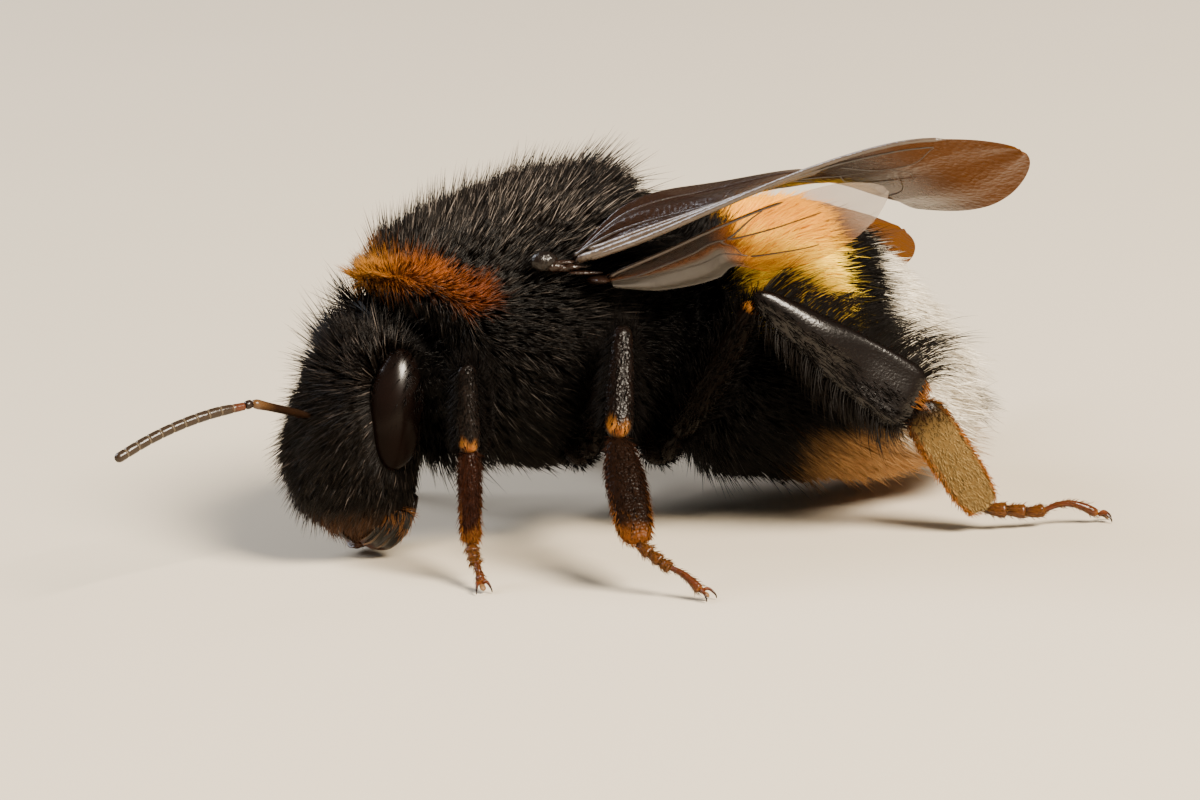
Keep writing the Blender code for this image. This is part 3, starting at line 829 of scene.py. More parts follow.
def limb_form(points, width, depth, facing=(0.0, 0.0, 1.0), place=np.asarray, ridge=nowhere, dish=nowhere):
    """Surface along a smooth path: u along it, v round it, from half width and half depth at each u.

    v = 0 lies across the path, square to facing, and v = a quarter turn faces that way. ridge(u)
    moves the thickest place towards v = 0, or away from it where negative, and dish(u) flattens the
    side that faces that way.
    """
    points = place(np.asarray(points, float))
    lengths = np.append(0, np.cumsum(np.linalg.norm(np.diff(points, axis=0), axis=1)))
    def path(u):
        return rows_at(points, np.interp(np.clip(u, 0, 1), lengths / lengths[-1], np.arange(len(points))))
    def surface(u, v):
        along = unit(path(u + 0.01) - path(u - 0.01))
        across = unit(np.cross(along, facing))
        hollow = dish(u) * step(0.0, 1.0, np.sin(v)) ** 2
        thick = np.sin(v) * depth(u) * (1 + ridge(u) * np.cos(v)) * (1 - hollow)
        deep = np.cross(across, along)
        return path(u) + (np.cos(v) * width(u))[..., None] * across + thick[..., None] * deep
    return surface


def rounded(width, start=0.06, end=0.06):
    """A width, of rows of (place, width) or of u, that closes in a half round over these end shares."""
    def shut(gap, share):
        return np.sqrt(np.clip(1 - (1 - np.clip(gap / share, 0, 1)) ** 2, 0.002, 1))
    def closed(u):
        wide = width(u) if callable(width) else profile(width, np.clip(u, 0, 1))
        return wide * shut(u, start) * shut(1 - u, end)
    return closed


def horn(name, dark, light, rough, pits=0.0, shine=0.30):
    """Horn-hard chitin: translucent brown in thin places, with a wet gloss, a fine grain and punctures."""
    add, finish = material(name)
    place = add("TexCoord").outputs["Object"]
    cloud = add("TexNoise", {"Vector": place, "Scale": 2500.0, "Detail": 4.0})
    marks = add("VertexColor", layer_name="marks")
    shade = add("MixRGB", {"Fac": cloud, "Color1": linear(dark), "Color2": linear(light)})
    tint = add("MixRGB", {"Fac": 1.0, "Color1": shade, "Color2": marks}, blend_type="MULTIPLY")
    grain = add("TexNoise", {"Vector": place, "Scale": 13000.0, "Detail": 3.0})
    relief = add("Bump", {"Height": grain, "Strength": 0.6, "Distance": 1.2e-5})
    spots = add("TexVoronoi", {"Vector": place, "Scale": 12000.0})
    dents = add("Bump", {"Height": spots, "Strength": pits, "Distance": 2.2e-5, "Normal": relief})
    gloss = add("Math", {0: marks.outputs["Alpha"], 1: shine}, operation="MULTIPLY")
    return finish({"Base Color": tint, "Roughness": rough, "Specular IOR Level": gloss, "Normal": dents,
                   "Subsurface Weight": 0.06, "Subsurface Radius": (0.00012, 0.00006, 0.00003)})


horn_finish = horn("chitin horn", "#e4ded6", "#ffffff", 0.24)
pitted_finish = horn("pitted horn", "#e4ded6", "#ffffff", 0.30, 0.8)


def joined(forms):
    """Points, faces and colours of several closed forms: surface, rows, sides, colour, and gloss if not 1."""
    points, faces, shades = [], [], []
    start = 0
    for surface, rows, sides, colour, *gloss in forms:
        some, corners = closed_grid(surface, rows, sides)
        points.append(some)
        faces += [[start + c for c in corner] for corner in corners]
        hue = colour(*grid_places(rows, sides)) if callable(colour) else np.tile(tone(colour), (len(some), 1))
        shades.append(np.column_stack([hue, np.full(len(some), gloss[0] if gloss else 1.0)]))
        start += len(some)
    return np.vstack(points), faces, np.vstack(shades)


def hard_piece(name, forms, slot, replaced=(), finish=horn_finish):
    """One mesh from closed forms, riding on the bee."""
    points, faces, shades = joined(forms)
    return piece(name, points, faces, finish, shades, slot, replaced)


def grooved(plain):
    """A form with eight grooves along it, deepest in its middle."""
    def surface(u, v):
        middle = 0.5 * (plain(u, v) + plain(u, v + math.pi))
        swell = 1 + 0.17 * np.cos(8 * v) * np.sin(np.pi * np.clip(u, 0, 1)) ** 0.5
        return middle + (plain(u, v) - middle) * swell[..., None]
    return surface


def jaw_colour(u, v):
    """Black-brown, redder at the tip, with painted highlights along the ridges there."""
    tip = blend("#0a0604", "#4a2410", step(0.6, 1.0, u))
    return blend(tip, "#8a6a4a", 0.5 * step(0.5, 1.0, np.cos(8 * v)) * step(0.35, 0.8, u))


def add_mouth():
    """Grooved jaws with golden-brown bristles at their bases, the lip between them, and the folded tongue."""
    bristles = []
    for number, (side, sign) in enumerate(SIDES):
        path = ((0.42, sign * 1.22, -2.35), (0.32, sign * 1.22, -2.80), (0.08, sign * 0.92, -3.24),
                (-0.05, sign * 0.24, -3.48))
        jaw = grooved(limb_form(path, rounded(((0, 0.44), (0.5, 0.38), (0.85, 0.40), (1, 0.30))),
                                rounded(((0, 0.24), (0.6, 0.17), (1, 0.10))), (0.2, sign, -0.3), on_head))
        hard_piece("jaw_" + side, [(jaw, 44, 96, jaw_colour)], "dark_horn", ["mandible_" + side])
        u, v = scatter(jaw, 200, 41 + number, lambda u, v, points: step(0.40, 0.05, u))
        bristles.append(hairs(jaw, u, v, 43 + number, 0.30, 0.40, 0.0, 0.1, 0.009, "#7a4f28",
                              tile=(0.5 * number, 0, 0.48), tuft=0.0))
    lip = limb_form(((-1.02, 0, -2.62), (-0.88, 0, -2.98), (-0.52, 0, -3.22)),
                    rounded(((0, 0.55), (0.6, 0.62), (1, 0.5)), 0.2, 0.3),
                    rounded(((0, 0.14), (1, 0.10)), 0.2, 0.3), (-1, 0, -0.4), on_head)
    hard_piece("lip", [(lip, 24, 32, "#140b07")], "dark_horn")
    sheath = limb_form(((0.35, 0, -3.02), (0.85, 0, -3.05), (1.15, 0, -2.70), (1.35, 0, -2.1)),
                       rounded(((0, 0.40), (0.5, 0.36), (1, 0.14))),
                       rounded(((0, 0.20), (0.5, 0.18), (1, 0.12))), (1, 0, -1), on_head)
    hard_piece("tongue_sheath", [(sheath, 30, 28, "#1a0e07")], "dark_horn", ["proboscis"])
    coat("coat_jaws", bristles)


add_mouth()

# ---- Feelers -----------------------------------------------------------------------------------
# A long amber-brown first joint on a ball socket, a short ring, and a whip of eleven drums of dull
# dark horn with a pale ring where each meets the next.
FEELERS = {
    "left": ((-8.72, -0.72, -1.95), (-10.81, -2.60, -1.27), (-14.63, -4.00, -2.64)),
    "right": ((-8.95, 0.95, -1.75), (-8.75, 3.70, -0.95), (-7.60, 7.10, -2.90)),
}
FEELER_DRUMS = 11
FEELER_RADIUS = 0.14
SCAPE_GIRTHS = (((0, 0.16), (0.12, 0.08), (0.2, 0.115), (0.8, 0.13), (1, 0.165)),
                ((0, 0.16), (0.12, 0.08), (0.2, 0.105), (0.8, 0.12), (1, 0.150)))


def pinched(u):
    """Half width of the whip: slender at its first drum, and a little narrower at every join."""
    spot = (np.clip(u, 0, 1) * FEELER_DRUMS) % 1
    pinch = 1 - 0.13 * np.exp(-(np.minimum(spot, 1 - spot) / 0.06) ** 2)
    return FEELER_RADIUS * (0.78 + 0.22 * step(0.0, 0.2, u)) * pinch


def feeler_colour(u, v):
    """Red-brown on the first drum, dark grey-brown beyond, with pale rings at the joins."""
    spot = (u * FEELER_DRUMS) % 1
    ring = np.maximum(step(0.90, 0.97, spot), step(0.10, 0.03, spot))
    ring = ring * step(0.05, 0.09, u) * step(0.97, 0.93, u)
    return blend(blend("#4f2a17", "#2e241b", step(0.04, 0.13, u)), "#7c705c", 0.36 * ring)


def scape_colour(u, v):
    """Dark brown, amber at the elbow."""
    return blend("#1f130b", "#553c22", step(0.70, 0.97, u))


def add_feelers():
    """First joint, ring and whip of each feeler in one piece, bent at the elbow."""
    for side, points in FEELERS.items():
        base, elbow, tip = np.array(points)
        reach, onward = unit(elbow - base), unit(tip - elbow)
        wide, deep = (rounded(rows, 0.05, 0.08) for rows in SCAPE_GIRTHS)
        bend = base + 0.35 * (elbow - base) + (0, 0, 0.04)
        scape = limb_form((base - 0.2 * reach, base, bend, elbow), wide, deep)
        narrow = rounded(((0, 0.10), (0.5, 0.125), (1, 0.10)), 0.2, 0.2)
        ring = limb_form([elbow + share * onward for share in (-0.02, 0.12, 0.24)], narrow, narrow)
        start = elbow + 0.22 * onward
        path = [start + share * (tip - start) + np.array([0, 0, 0.22]) * 4 * share * (1 - share)
                for share in (0, 0.25, 0.5, 0.75, 1)]
        girth = rounded(pinched, 0.01, 0.04)
        hard_piece("feeler_" + side, [(scape, 40, 20, scape_colour), (ring, 14, 20, "#1c110b"),
                                      (limb_form(path, girth, girth), 221, 20, feeler_colour)],
                   "dark_horn", ["scape_" + side, "flagellum_" + side])


add_feelers()

# ---- Wing hinges -------------------------------------------------------------------------------
# A smooth shell lid covers each fore wing's hinge, and small glossy brown plates fold behind it.
HINGE_PLATES = ((-2.70, 4.02, 2.46, 0.30, 0.16, 0.14), (-2.46, 4.06, 2.58, 0.34, 0.12, 0.07),
                (-2.38, 4.05, 2.42, 0.40, 0.10, 0.10), (-2.08, 4.10, 2.47, 0.36, 0.12, 0.07),
                (-1.88, 4.24, 2.30, 0.48, 0.10, 0.06), (-2.20, 3.75, 2.45, 0.40, 0.48, 0.16),
                (-1.50, 4.00, 2.10, 0.34, 0.70, 0.13))


def add_hinges():
    """Lid and hinge plates of each side."""
    for side, sign in SIDES:
        lid = ellipsoid((-2.98, sign * 3.98, 2.60), (0.38, 0.22, 0.28))
        hard_piece("hinge_lid_" + side, [(lid, 24, 32, "#100a07")], "dark_horn", ["tegula_" + side],
                   pitted_finish)
        plates = [(ellipsoid((x, sign * y, z), radii), 14, 18, "#1e110a") for x, y, z, *radii in HINGE_PLATES]
        hard_piece("hinge_plates_" + side, plates, "dark_horn", (), pitted_finish)


add_hinges()

# ---- Wings -------------------------------------------------------------------------------------
# Two pairs of thin smoky brown membranes, stiffened by hollow dark veins: thick along the front edge,
# thinner in the cells behind, and none near the outer margin. The hind wing hooks to the fore wing.
WING_PLATE = 0.014
WINGS = {
    "forewing_left": ((-2.2, -4.15, 2.50), (7.20, -12.9, 6.65), "fore", 0.0),
    "forewing_right": ((-2.2, 4.15, 2.50), (8.60, 12.2, 3.25), "fore", 0.0),
    "hindwing_left": ((-1.4, -4.50, 2.25), (5.10, -9.4, 5.20), "hind", -44.0),
    "hindwing_right": ((-1.4, 4.65, 2.0), (6.30, 9.3, 2.25), "hind", -27.0),
}
WING_PLAN = {
    "fore": {
        "bow": 0.35,
        "front": ((0, 0), (0.7, 0), (0.85, 0.005), (0.95, 0.015), (1, 0.025)),
        "rear": ((0, 0.03), (0.1, 0.10), (0.25, 0.18), (0.5, 0.27), (0.7, 0.32), (0.86, 0.305), (1, 0.27)),
        "tip": (0.78, 0.14),
        "pitch": ((0, 62), (0.1, 58), (0.25, 27), (0.42, 11), (0.52, -3), (0.62, -19), (0.8, -26), (1, -24)),
    },
    "hind": {
        "bow": 0.25,
        "front": ((0, 0), (0.8, 0), (0.93, 0.01), (1, 0.02)),
        "rear": ((0, 0.06), (0.12, 0.14), (0.3, 0.19), (0.37, 0.175), (0.45, 0.25), (0.6, 0.28), (0.75, 0.25),
                 (0.9, 0.185), (1, 0.14)),
        "tip": (0.84, 0.07),
        "pitch": ((0, 0), (1, 0)),
    },
}
# Each vein: its radius, then (place along the wing, place across it) at its bends.
VEINS = {
    "fore": (
        (0.095, (0.03, 0.04), (0.20, -0.03), (0.45, -0.02), (0.62, -0.01), (0.80, 0.0), (0.90, 0.01)),
        (0.120, (0.0, 0.30), (0.06, 0.10), (0.20, 0.06), (0.45, 0.045), (0.62, 0.05)),
        (0.095, (0.03, 0.50), (0.10, 0.20), (0.25, 0.14), (0.45, 0.10), (0.60, 0.08)),
        (0.050, (0.58, 0.05), (0.64, 0.05), (0.70, 0.07), (0.78, 0.09), (0.86, 0.12)),
        (0.030, (0.64, 0.10), (0.70, 0.24), (0.78, 0.27), (0.86, 0.12)),
        (0.050, (0.0, 0.55), (0.12, 0.42), (0.25, 0.38), (0.36, 0.36)),
        (0.036, (0.36, 0.36), (0.42, 0.22), (0.47, 0.12)),
        (0.034, (0.36, 0.36), (0.44, 0.48), (0.54, 0.62), (0.60, 0.70)),
        (0.044, (0.0, 0.80), (0.12, 0.80), (0.26, 0.84), (0.44, 0.90), (0.52, 0.94)),
        (0.030, (0.33, 0.37), (0.34, 0.60), (0.35, 0.86)),
        (0.030, (0.45, 0.16), (0.50, 0.30), (0.56, 0.38), (0.66, 0.46), (0.76, 0.48)),
        (0.028, (0.52, 0.12), (0.55, 0.24), (0.56, 0.38)),
        (0.028, (0.62, 0.20), (0.61, 0.32), (0.63, 0.44)),
        (0.028, (0.54, 0.14), (0.62, 0.20), (0.70, 0.24)),
        (0.028, (0.72, 0.26), (0.74, 0.38), (0.73, 0.48)),
        (0.028, (0.54, 0.62), (0.58, 0.50), (0.60, 0.42)),
        (0.026, (0.60, 0.70), (0.67, 0.62), (0.70, 0.48)),
    ),
    "hind": (
        (0.060, (0.0, 0.25), (0.08, 0.08), (0.30, 0.05), (0.55, 0.04), (0.66, 0.05)),
        (0.040, (0.0, 0.45), (0.15, 0.32), (0.30, 0.28), (0.42, 0.26)),
        (0.030, (0.42, 0.26), (0.52, 0.12), (0.58, 0.06)),
        (0.028, (0.42, 0.26), (0.58, 0.34), (0.74, 0.42)),
        (0.032, (0.0, 0.60), (0.14, 0.58), (0.28, 0.60), (0.44, 0.66)),
        (0.026, (0.40, 0.27), (0.41, 0.46), (0.42, 0.65)),
        (0.026, (0.44, 0.66), (0.56, 0.72), (0.66, 0.80)),
    ),
}
# By least radius: the thick front-edge veins are painted paler, a painted sheen on their brown; thinner ones
# are darker.
VEIN_COLOURS_AND_SHEEN = ((0.09, "#584a3e"), (0.055, "#3c2e24"), (0.0, "#241712"))


def wing_form(root, tip, plan, pitch):
    """Wing surface of s, root to tip, and c, front edge to rear edge, with its unit normal.

    The front edge is a straight span bowed upwards; the chord leaves it towards the body at an angle
    that the plan gives for each place, both edges run into the tip as a quarter oval, and the
    membrane is pleated along the span.
    """
    plan = WING_PLAN[plan]
    root, tip = np.array(root, float), np.array(tip, float)
    length = np.linalg.norm(tip - root)
    span = (tip - root) / length
    inward = unit(np.cross(span, (0.0, 0.0, 1.0)))
    inward = inward if inward[1] * root[1] < 0 else -inward
    lift = np.cross(span, inward)
    lift = lift if lift[2] > 0 else -lift

    def surface(s, c):
        angle = np.radians(profile(plan["pitch"], s) + pitch)[..., None]
        chord = np.cos(angle) * inward + np.sin(angle) * lift
        normal = np.cross(span, chord)
        start, middle = plan["tip"]
        oval = 1 - np.sqrt(np.clip(1 - np.clip((s - start) / (1 - start), 0, 1) ** 2, 0, 1))
        edges = (profile(plan[key], s) for key in ("front", "rear"))
        front, rear = (edge + (middle - edge) * oval for edge in edges)
        reach = length * (front + c * (rear - front))
        rise = plan["bow"] * np.sin(math.pi * s ** 1.5)
        pleat = 0.075 * np.sin(2 * math.pi * (2.1 * c + 0.35 * s)) * np.sin(math.pi * np.clip(c, 0, 1)) ** 0.7
        pleat = pleat * (0.4 + 0.6 * step(1.0, 0.55, s)) + 0.03 * np.sin(9 * s + 4 * c) * c
        edge = root + s[..., None] * (tip - root) + rise[..., None] * np.array([0.0, 0.0, 1.0])
        return edge + reach[..., None] * chord + pleat[..., None] * normal, normal
    return surface


def wing_skin():
    """Wing membrane: smoky chitin, glossy and finely crinkled, with its cover and glints painted."""
    add, finish = material("wing membrane")
    place = add("TexCoord").outputs["Object"]
    marks = add("VertexColor", layer_name="marks")
    cells = add("TexVoronoi", {"Vector": place, "Scale": 6500.0})
    folds = add("TexNoise", {"Vector": place, "Scale": 1100.0, "Detail": 5.0, "Roughness": 0.6})
    fine = add("Bump", {"Height": cells, "Strength": 0.6, "Distance": 3.0e-5})
    relief = add("Bump", {"Height": folds, "Strength": 0.6, "Distance": 1.2e-4, "Normal": fine})
    return finish({"Base Color": marks, "Roughness": 0.30, "Normal": relief, "Alpha": marks.outputs["Alpha"],
                   "Specular IOR Level": 0.20, "Specular Tint": add("VertexColor", layer_name="glints")})


wing_finish = wing_skin()
vein_finish = horn("vein horn", "#b0a090", "#ffffff", 0.32, 0.5, 1.0)


def wing_marks(s, c, plan):
    """Membrane colour and cover: dark in front, amber cells, brown or, on the hind wing, grey outside, partly
    painted sheen.
    """
    if plan == "fore":
        front = np.maximum(step(0.62, 0.25, c), step(0.50, 0.32, s)) * step(0.82, 0.62, s)
        colours = blend(tone("#422a15", 0.66), tone("#21140d", 0.88), front)
        return blend(colours, tone("#542f07", 0.97), step(0.66, 0.84, s))
    front = step(0.62, 0.25, c) * step(0.52, 0.36, s)
    colours = blend(tone("#b4640c", 0.24), tone("#21140d", 0.60), front)
    # The hind wing's grey lobe and whitish outer end are partly the pale clear membrane, partly painted
    # sheen.
    colours = blend(colours, tone("#5a5652", 0.80), step(0.45, 0.36, s) * step(0.30, 0.55, c))
    return blend(colours, tone("#c2bbb4", 0.34), 0.9 * step(0.70, 0.88, s))


def wing_places(u, v):
    """Places along and across a wing for u and v of a closed grid round it."""
    return 0.997 * np.sin(u * math.pi / 2), (1 - np.cos(v)) / 2


def add_wings():
    """Membrane and veins of each wing."""
    for name, (root, tip, plan, pitch) in WINGS.items():
        form = wing_form(root, tip, plan, pitch)
        def plate(u, v, form=form):
            point, normal = form(*wing_places(u, v))
            return point + (WING_PLATE * np.sin(v))[..., None] * normal
        s, c = wing_places(*grid_places(110, 72))
        membrane = piece("membrane_" + name, *closed_grid(plate, 110, 72), wing_finish,
                         wing_marks(s, c, plan), "wing", [name])
        warm = step(0.62, 0.84, s) if plan == "fore" else 0.85 * step(0.36, 0.50, s) * step(0.90, 0.70, s)
        paint(membrane, "glints", blend("#ffffff", "#7a4c20", warm))
        tubes = []
        for radius, *bends in VEINS[plan]:
            places = rows_at(bends, np.linspace(0, len(bends) - 1, 14))
            girth = rounded(((0, radius), (1, 0.6 * radius)), 0.04, 0.04)
            colour = next(code for least, code in VEIN_COLOURS_AND_SHEEN if radius > least)
            tubes.append((limb_form(form(*places.T)[0], girth, girth), 36, 10, colour))
        hard_piece("veins_" + name, tubes, "wing", (), vein_finish)


add_wings()

# ---- Legs --------------------------------------------------------------------------------------
# Six jointed legs of black-brown horn: hip, ball, thigh, shin, a long flat foot plate, three short
# toe joints, a slender last one and two claws. The hind shin is a broad polished pollen basket.
LEGS = {
    "fore_left": ((-4.75, -1.75, 2.00), (-4.95, -2.65, 2.75), (-5.18, -4.75, 5.86), (-5.37, -4.95, 3.48),
                  (-5.61, -5.43, 1.09), (-5.54, -6.54, 0.14)),
    "mid_left": ((-2.05, -1.85, 1.45), (-1.85, -2.85, 2.20), (-0.95, -5.40, 6.55), (-1.55, -6.76, 3.77),
                 (-1.57, -9.02, 1.37), (-0.11, -10.54, 0.14)),
    "hind_left": ((0.05, -1.75, 1.25), (0.40, -2.80, 1.90), (2.67, -5.95, 7.08), (6.80, -6.10, 3.55),
                  (8.30, -6.60, 0.62), (11.52, -7.18, 0.14)),
    "fore_right": ((-4.75, 1.95, 1.65), (-5.00, 2.75, 2.20), (-5.70, 5.05, 4.75), (-6.55, 5.95, 2.85),
                   (-6.75, 7.05, 0.95), (-7.00, 8.35, 0.14)),
    "mid_right": ((-2.05, 2.05, 1.10), (-1.95, 2.95, 1.70), (-1.10, 6.00, 4.95), (-1.90, 8.00, 2.80),
                  (-1.70, 9.90, 0.95), (-0.60, 11.40, 0.14)),
    "hind_right": ((0.15, 1.95, 0.95), (0.55, 2.90, 1.45), (2.50, 5.90, 5.40), (6.10, 7.70, 2.10),
                   (7.40, 8.60, 0.55), (8.80, 9.90, 0.14)),
}
# Half widths along each length, then how deep it is for its width.
GIRTHS = {
    "fore": {"hip": ((0, 0.42), (0.5, 0.48), (1, 0.30)), "thigh": ((0, 0.24), (0.35, 0.42), (1, 0.26)),
             "shin": ((0, 0.24), (0.7, 0.34), (1, 0.30)), "plate": ((0, 0.22), (0.3, 0.28), (1, 0.22))},
    "mid": {"hip": ((0, 0.45), (0.5, 0.52), (1, 0.32)), "thigh": ((0, 0.26), (0.35, 0.46), (1, 0.28)),
            "shin": ((0, 0.25), (0.7, 0.41), (1, 0.37)),
            "plate": ((0, 0.26), (0.35, 0.50), (0.8, 0.48), (1, 0.34))},
    "hind": {"hip": ((0, 0.46), (0.5, 0.54), (1, 0.34)), "thigh": ((0, 0.28), (0.35, 0.50), (1, 0.30)),
             "shin": ((0, 0.27), (0.2, 0.50), (0.5, 0.76), (0.85, 0.95), (1, 0.88)),
             "plate": ((0, 0.42), (0.2, 0.60), (0.8, 0.58), (1, 0.40))},
}
DEPTHS = {"hip": 0.9, "ball": 0.9, "thigh": 0.8, "shin": 0.62, "plate": 0.36}
HIND_DEPTHS = {"hip": 0.9, "ball": 0.9, "thigh": 0.75, "shin": 0.48, "plate": 0.26}
BALL_GIRTH = ((0, 0.24), (0.5, 0.30), (1, 0.24))
LEG_COLOURS = {"fore": ("#0e0806", "#241109"), "mid": ("#0e0806", "#160c07"), "hind": ("#0c0705", "#5c4828")}
JOINT_SPOT = "#9c6428"
TOE_COLOUR = "#4e2c0e"
HIP_RISE = 1.2
BALL_RISE = 0.6
CLAW_COLOUR = "#1c0e08"
basket_finish = horn("polished horn", "#e4ded6", "#ffffff", 0.21, 0.0, 0.33)


def standing(points):
    """Points of the floor's frame, from under the middle of the stance, in the level body."""
    return (np.asarray(points, float) - np.array([0.0, 0.0, WAIST[2]])) @ TILT


def shaded(dark, light, start=0.0, end=0.0, patch=False):
    """Colour along a length: dark, with light at its first and last shares.

    A patch keeps to the outer side, has a ragged edge and is redder in its middle.
    """
    def colour(u, v):
        ragged = u + (0.04 * np.sin(2 * v + 1) + 0.018 * np.sin(7 * v) if patch else 0)
        mix = np.maximum(step(start, 0.2 * start, ragged) if start else 0 * u,
                         step(1 - end, 1 - 0.3 * end, ragged) if end else 0 * u)
        if not patch:
            return blend(dark, light, mix)
        mix = mix * step(0.50, 1.0, np.sin(v + 0.1) + 0.12 * np.sin(3 * v + 1)) * step(0.995, 0.93, u)
        heart = np.exp(-((u - 0.945) / 0.03) ** 2 - ((v - 1.5) / 0.5) ** 2)
        return blend(dark, blend(light, "#6a2f10", 0.8 * heart), mix)
    return colour


def leg_form(path, width, thin=1.0, facing=(0.0, 0.0, 1.0), **shape):
    """A limb along points of the floor's frame, thin times as deep as it is wide."""
    return limb_form(path, width, lambda u: thin * width(u), facing, standing, **shape)


def leg_lengths(leg):
    """One leg: its lengths by name, as surface, rows, sides, colour and gloss; heel and toe; facing."""
    pair, side = leg.split("_")
    hip, ball, knee, ankle, heel, toe = np.array(LEGS[leg])
    hip[2] += HIP_RISE
    ball[2] += BALL_RISE
    outward = np.array([0.0, -1.0 if side == "left" else 1.0, 0.0])
    facing = standing(outward + (0, 0, 0.35)) - standing((0.0, 0.0, 0.0))
    dark, plate_colour = LEG_COLOURS[pair]
    made = {}

    def length(name, path, colour, rows, sides, start, end, gloss, **shape):
        width = rounded(GIRTHS[pair].get(name, BALL_GIRTH), start, end)
        depth = (HIND_DEPTHS if pair == "hind" else DEPTHS)[name]
        made[name] = (leg_form(path, width, depth, facing, **shape), rows, sides, colour, gloss)

    thigh, shin, foot = knee - ball, ankle - knee, heel - ankle
    thigh_path = (ball + 0.06 * thigh, ball + 0.5 * thigh + 0.30 * outward, knee - 0.03 * thigh)
    shin_path = (knee - 0.02 * shin, knee + 0.5 * shin, ankle)
    plate_path = (ankle - 0.05 * foot, ankle + 0.5 * foot, heel)
    length("hip", (hip, (hip + ball) / 2, ball), dark, 16, 20, 0.2, 0.25, 0.1)
    length("ball", [ball + share * thigh for share in (-0.08, 0.02, 0.13)], dark, 12, 18, 0.4, 0.4, 0.2)
    if pair == "hind":
        upper = outward[1]
        length("thigh", thigh_path, shaded(dark, JOINT_SPOT, 0.0, 0.05), 34, 24, 0.12, 0.1, 0.12)
        length("shin", shin_path, dark, 60, 48, 0.10, 0.10, 1.0, ridge=lambda u: upper * (0.38 - 0.6 * u),
               dish=lambda u: 0.5 * step(0.3, 0.7, u))
        length("plate", plate_path, shaded(plate_colour, dark, 0.3, 0.0), 40, 30, 0.12, 0.05, 0.14)
    else:
        length("thigh", thigh_path, dark, 34, 24, 0.12, 0.1, 0.12)
        length("shin", shin_path, shaded(dark, JOINT_SPOT, 0.0, 0.22, True), 60, 40, 0.10, 0.13,
               0.45 if pair == "fore" else 0.36)
        length("plate", plate_path, shaded(plate_colour, "#552f10", 0.0, 0.22), 40, 30, 0.12, 0.08, 0.14)
    return made, (heel, toe), facing


def toe_lengths(heel, toe, facing, pair):
    """Three heart-shaped toe joints, a slender arched one, and two hooked claws on a pale pad."""
    reach = toe - heel
    size = 1.15 if pair == "hind" else 1.0
    rise = 0.30 if pair == "hind" else 0.12
    def path(share):
        arch = math.sin(math.pi * min(max((share - 0.45) / 0.5, 0), 1))
        return heel + share * reach + (0, 0, arch * rise + 0.02)
    forms = []
    for number in range(3):
        start, end = -0.02 + 0.155 * number, 0.155 * (number + 1) + 0.03
        widest = 0.185 - 0.015 * number
        width = rounded(((0, 0.09 * size), (0.8, widest * size), (1, (widest - 0.005) * size)), 0.15, 0.12)
        forms.append((leg_form([path(start), path((start + end) / 2), path(end)], width, 0.6, facing), 16, 18,
                      shaded(TOE_COLOUR, "#241207", 0.60, 0.0)))
    width = rounded(((0, 0.07), (0.6, 0.10), (0.9, 0.13), (1, 0.10)), 0.08, 0.08)
    forms.append((leg_form([path(share) for share in (0.47, 0.58, 0.70, 0.82, 0.93)], width, 1.0, facing),
                  24, 16, shaded("#4a2410", "#74451a", 0.1, 0.1)))
    end = path(0.93)
    onward = unit(reach * (1.0, 1.0, 0.0))
    aside = np.cross(onward, (0.0, 0.0, 1.0))
    for sign in (-1, 1):
        hook = [end] + [end + a * onward + sign * b * aside + (0, 0, c) for a, b, c in (
            (0.16, 0.13, 0.05), (0.32, 0.20, 0.025 - 0.5 * end[2]), (0.34, 0.22, 0.03 - end[2]))]
        forms.append((leg_form(hook, rounded(((0, 0.055), (0.5, 0.04), (1, 0.014)), 0.05, 0.05)), 20, 10,
                      shaded("#5a2c12", CLAW_COLOUR, 0.0, 0.7)))
    pad = [end + 0.02 * onward, end + 0.18 * onward - (0, 0, 0.06), end + 0.26 * onward - (0, 0, 0.16)]
    width = rounded(((0, 0.05), (0.7, 0.09), (1, 0.06)), 0.2, 0.3)
    forms.append((leg_form(pad, width, 0.5), 12, 12, "#6e5236"))
    return forms


def spurs(surface, pair):
    """The spurs at the end of a shin: short straight thorns, one on the mid leg and two on the others."""
    tips = []
    for turn in ((0.5,) if pair == "mid" else (0.15, 0.85)):
        place = np.array([0.95]), np.array([math.pi * (turn + 1.0)])
        root = surface(*place)[0]
        along, _, out = slopes(surface, *place)
        tip = root + 0.42 * unit(along + 0.75 * out)[0]
        path = [root - 0.3 * (tip - root), (root + tip) / 2, tip]
        girth = rounded(((0, 0.055), (1, 0.015)), 0.1, 0.05)
        tips.append((limb_form(path, girth, girth), 12, 8, "#2a150c"))
    return tips


leg_parts = {leg: leg_lengths(leg) for leg in LEGS}


def add_legs():
    """The lengths of each leg in one piece, each set into the next."""
    for leg, (made, (heel, toe), facing) in leg_parts.items():
        pair = leg.split("_")[0]
        forms = list(made.values()) + toe_lengths(heel, toe, facing, pair)
        forms += spurs(made["shin"][0], pair)
        names = ["%s_%s" % (leg, part) for part in ("coxa", "femur", "tibia", "basitarsus", "tarsus")]
        finish = basket_finish if pair == "hind" else pitted_finish
        hard_piece("leg_" + leg, forms, "dark_horn", names, finish)


add_legs()

# ---- Coat of the legs --------------------------------------------------------------------------
# Bristly black hair on hips, thighs and shins, a velvet of short golden hair on the hind foot plates,
# and along the polished hind shin two combs of long curved hairs that hold the pollen in life.
dull_hair_finish = hair("leg hair", 0.55, 0.05)


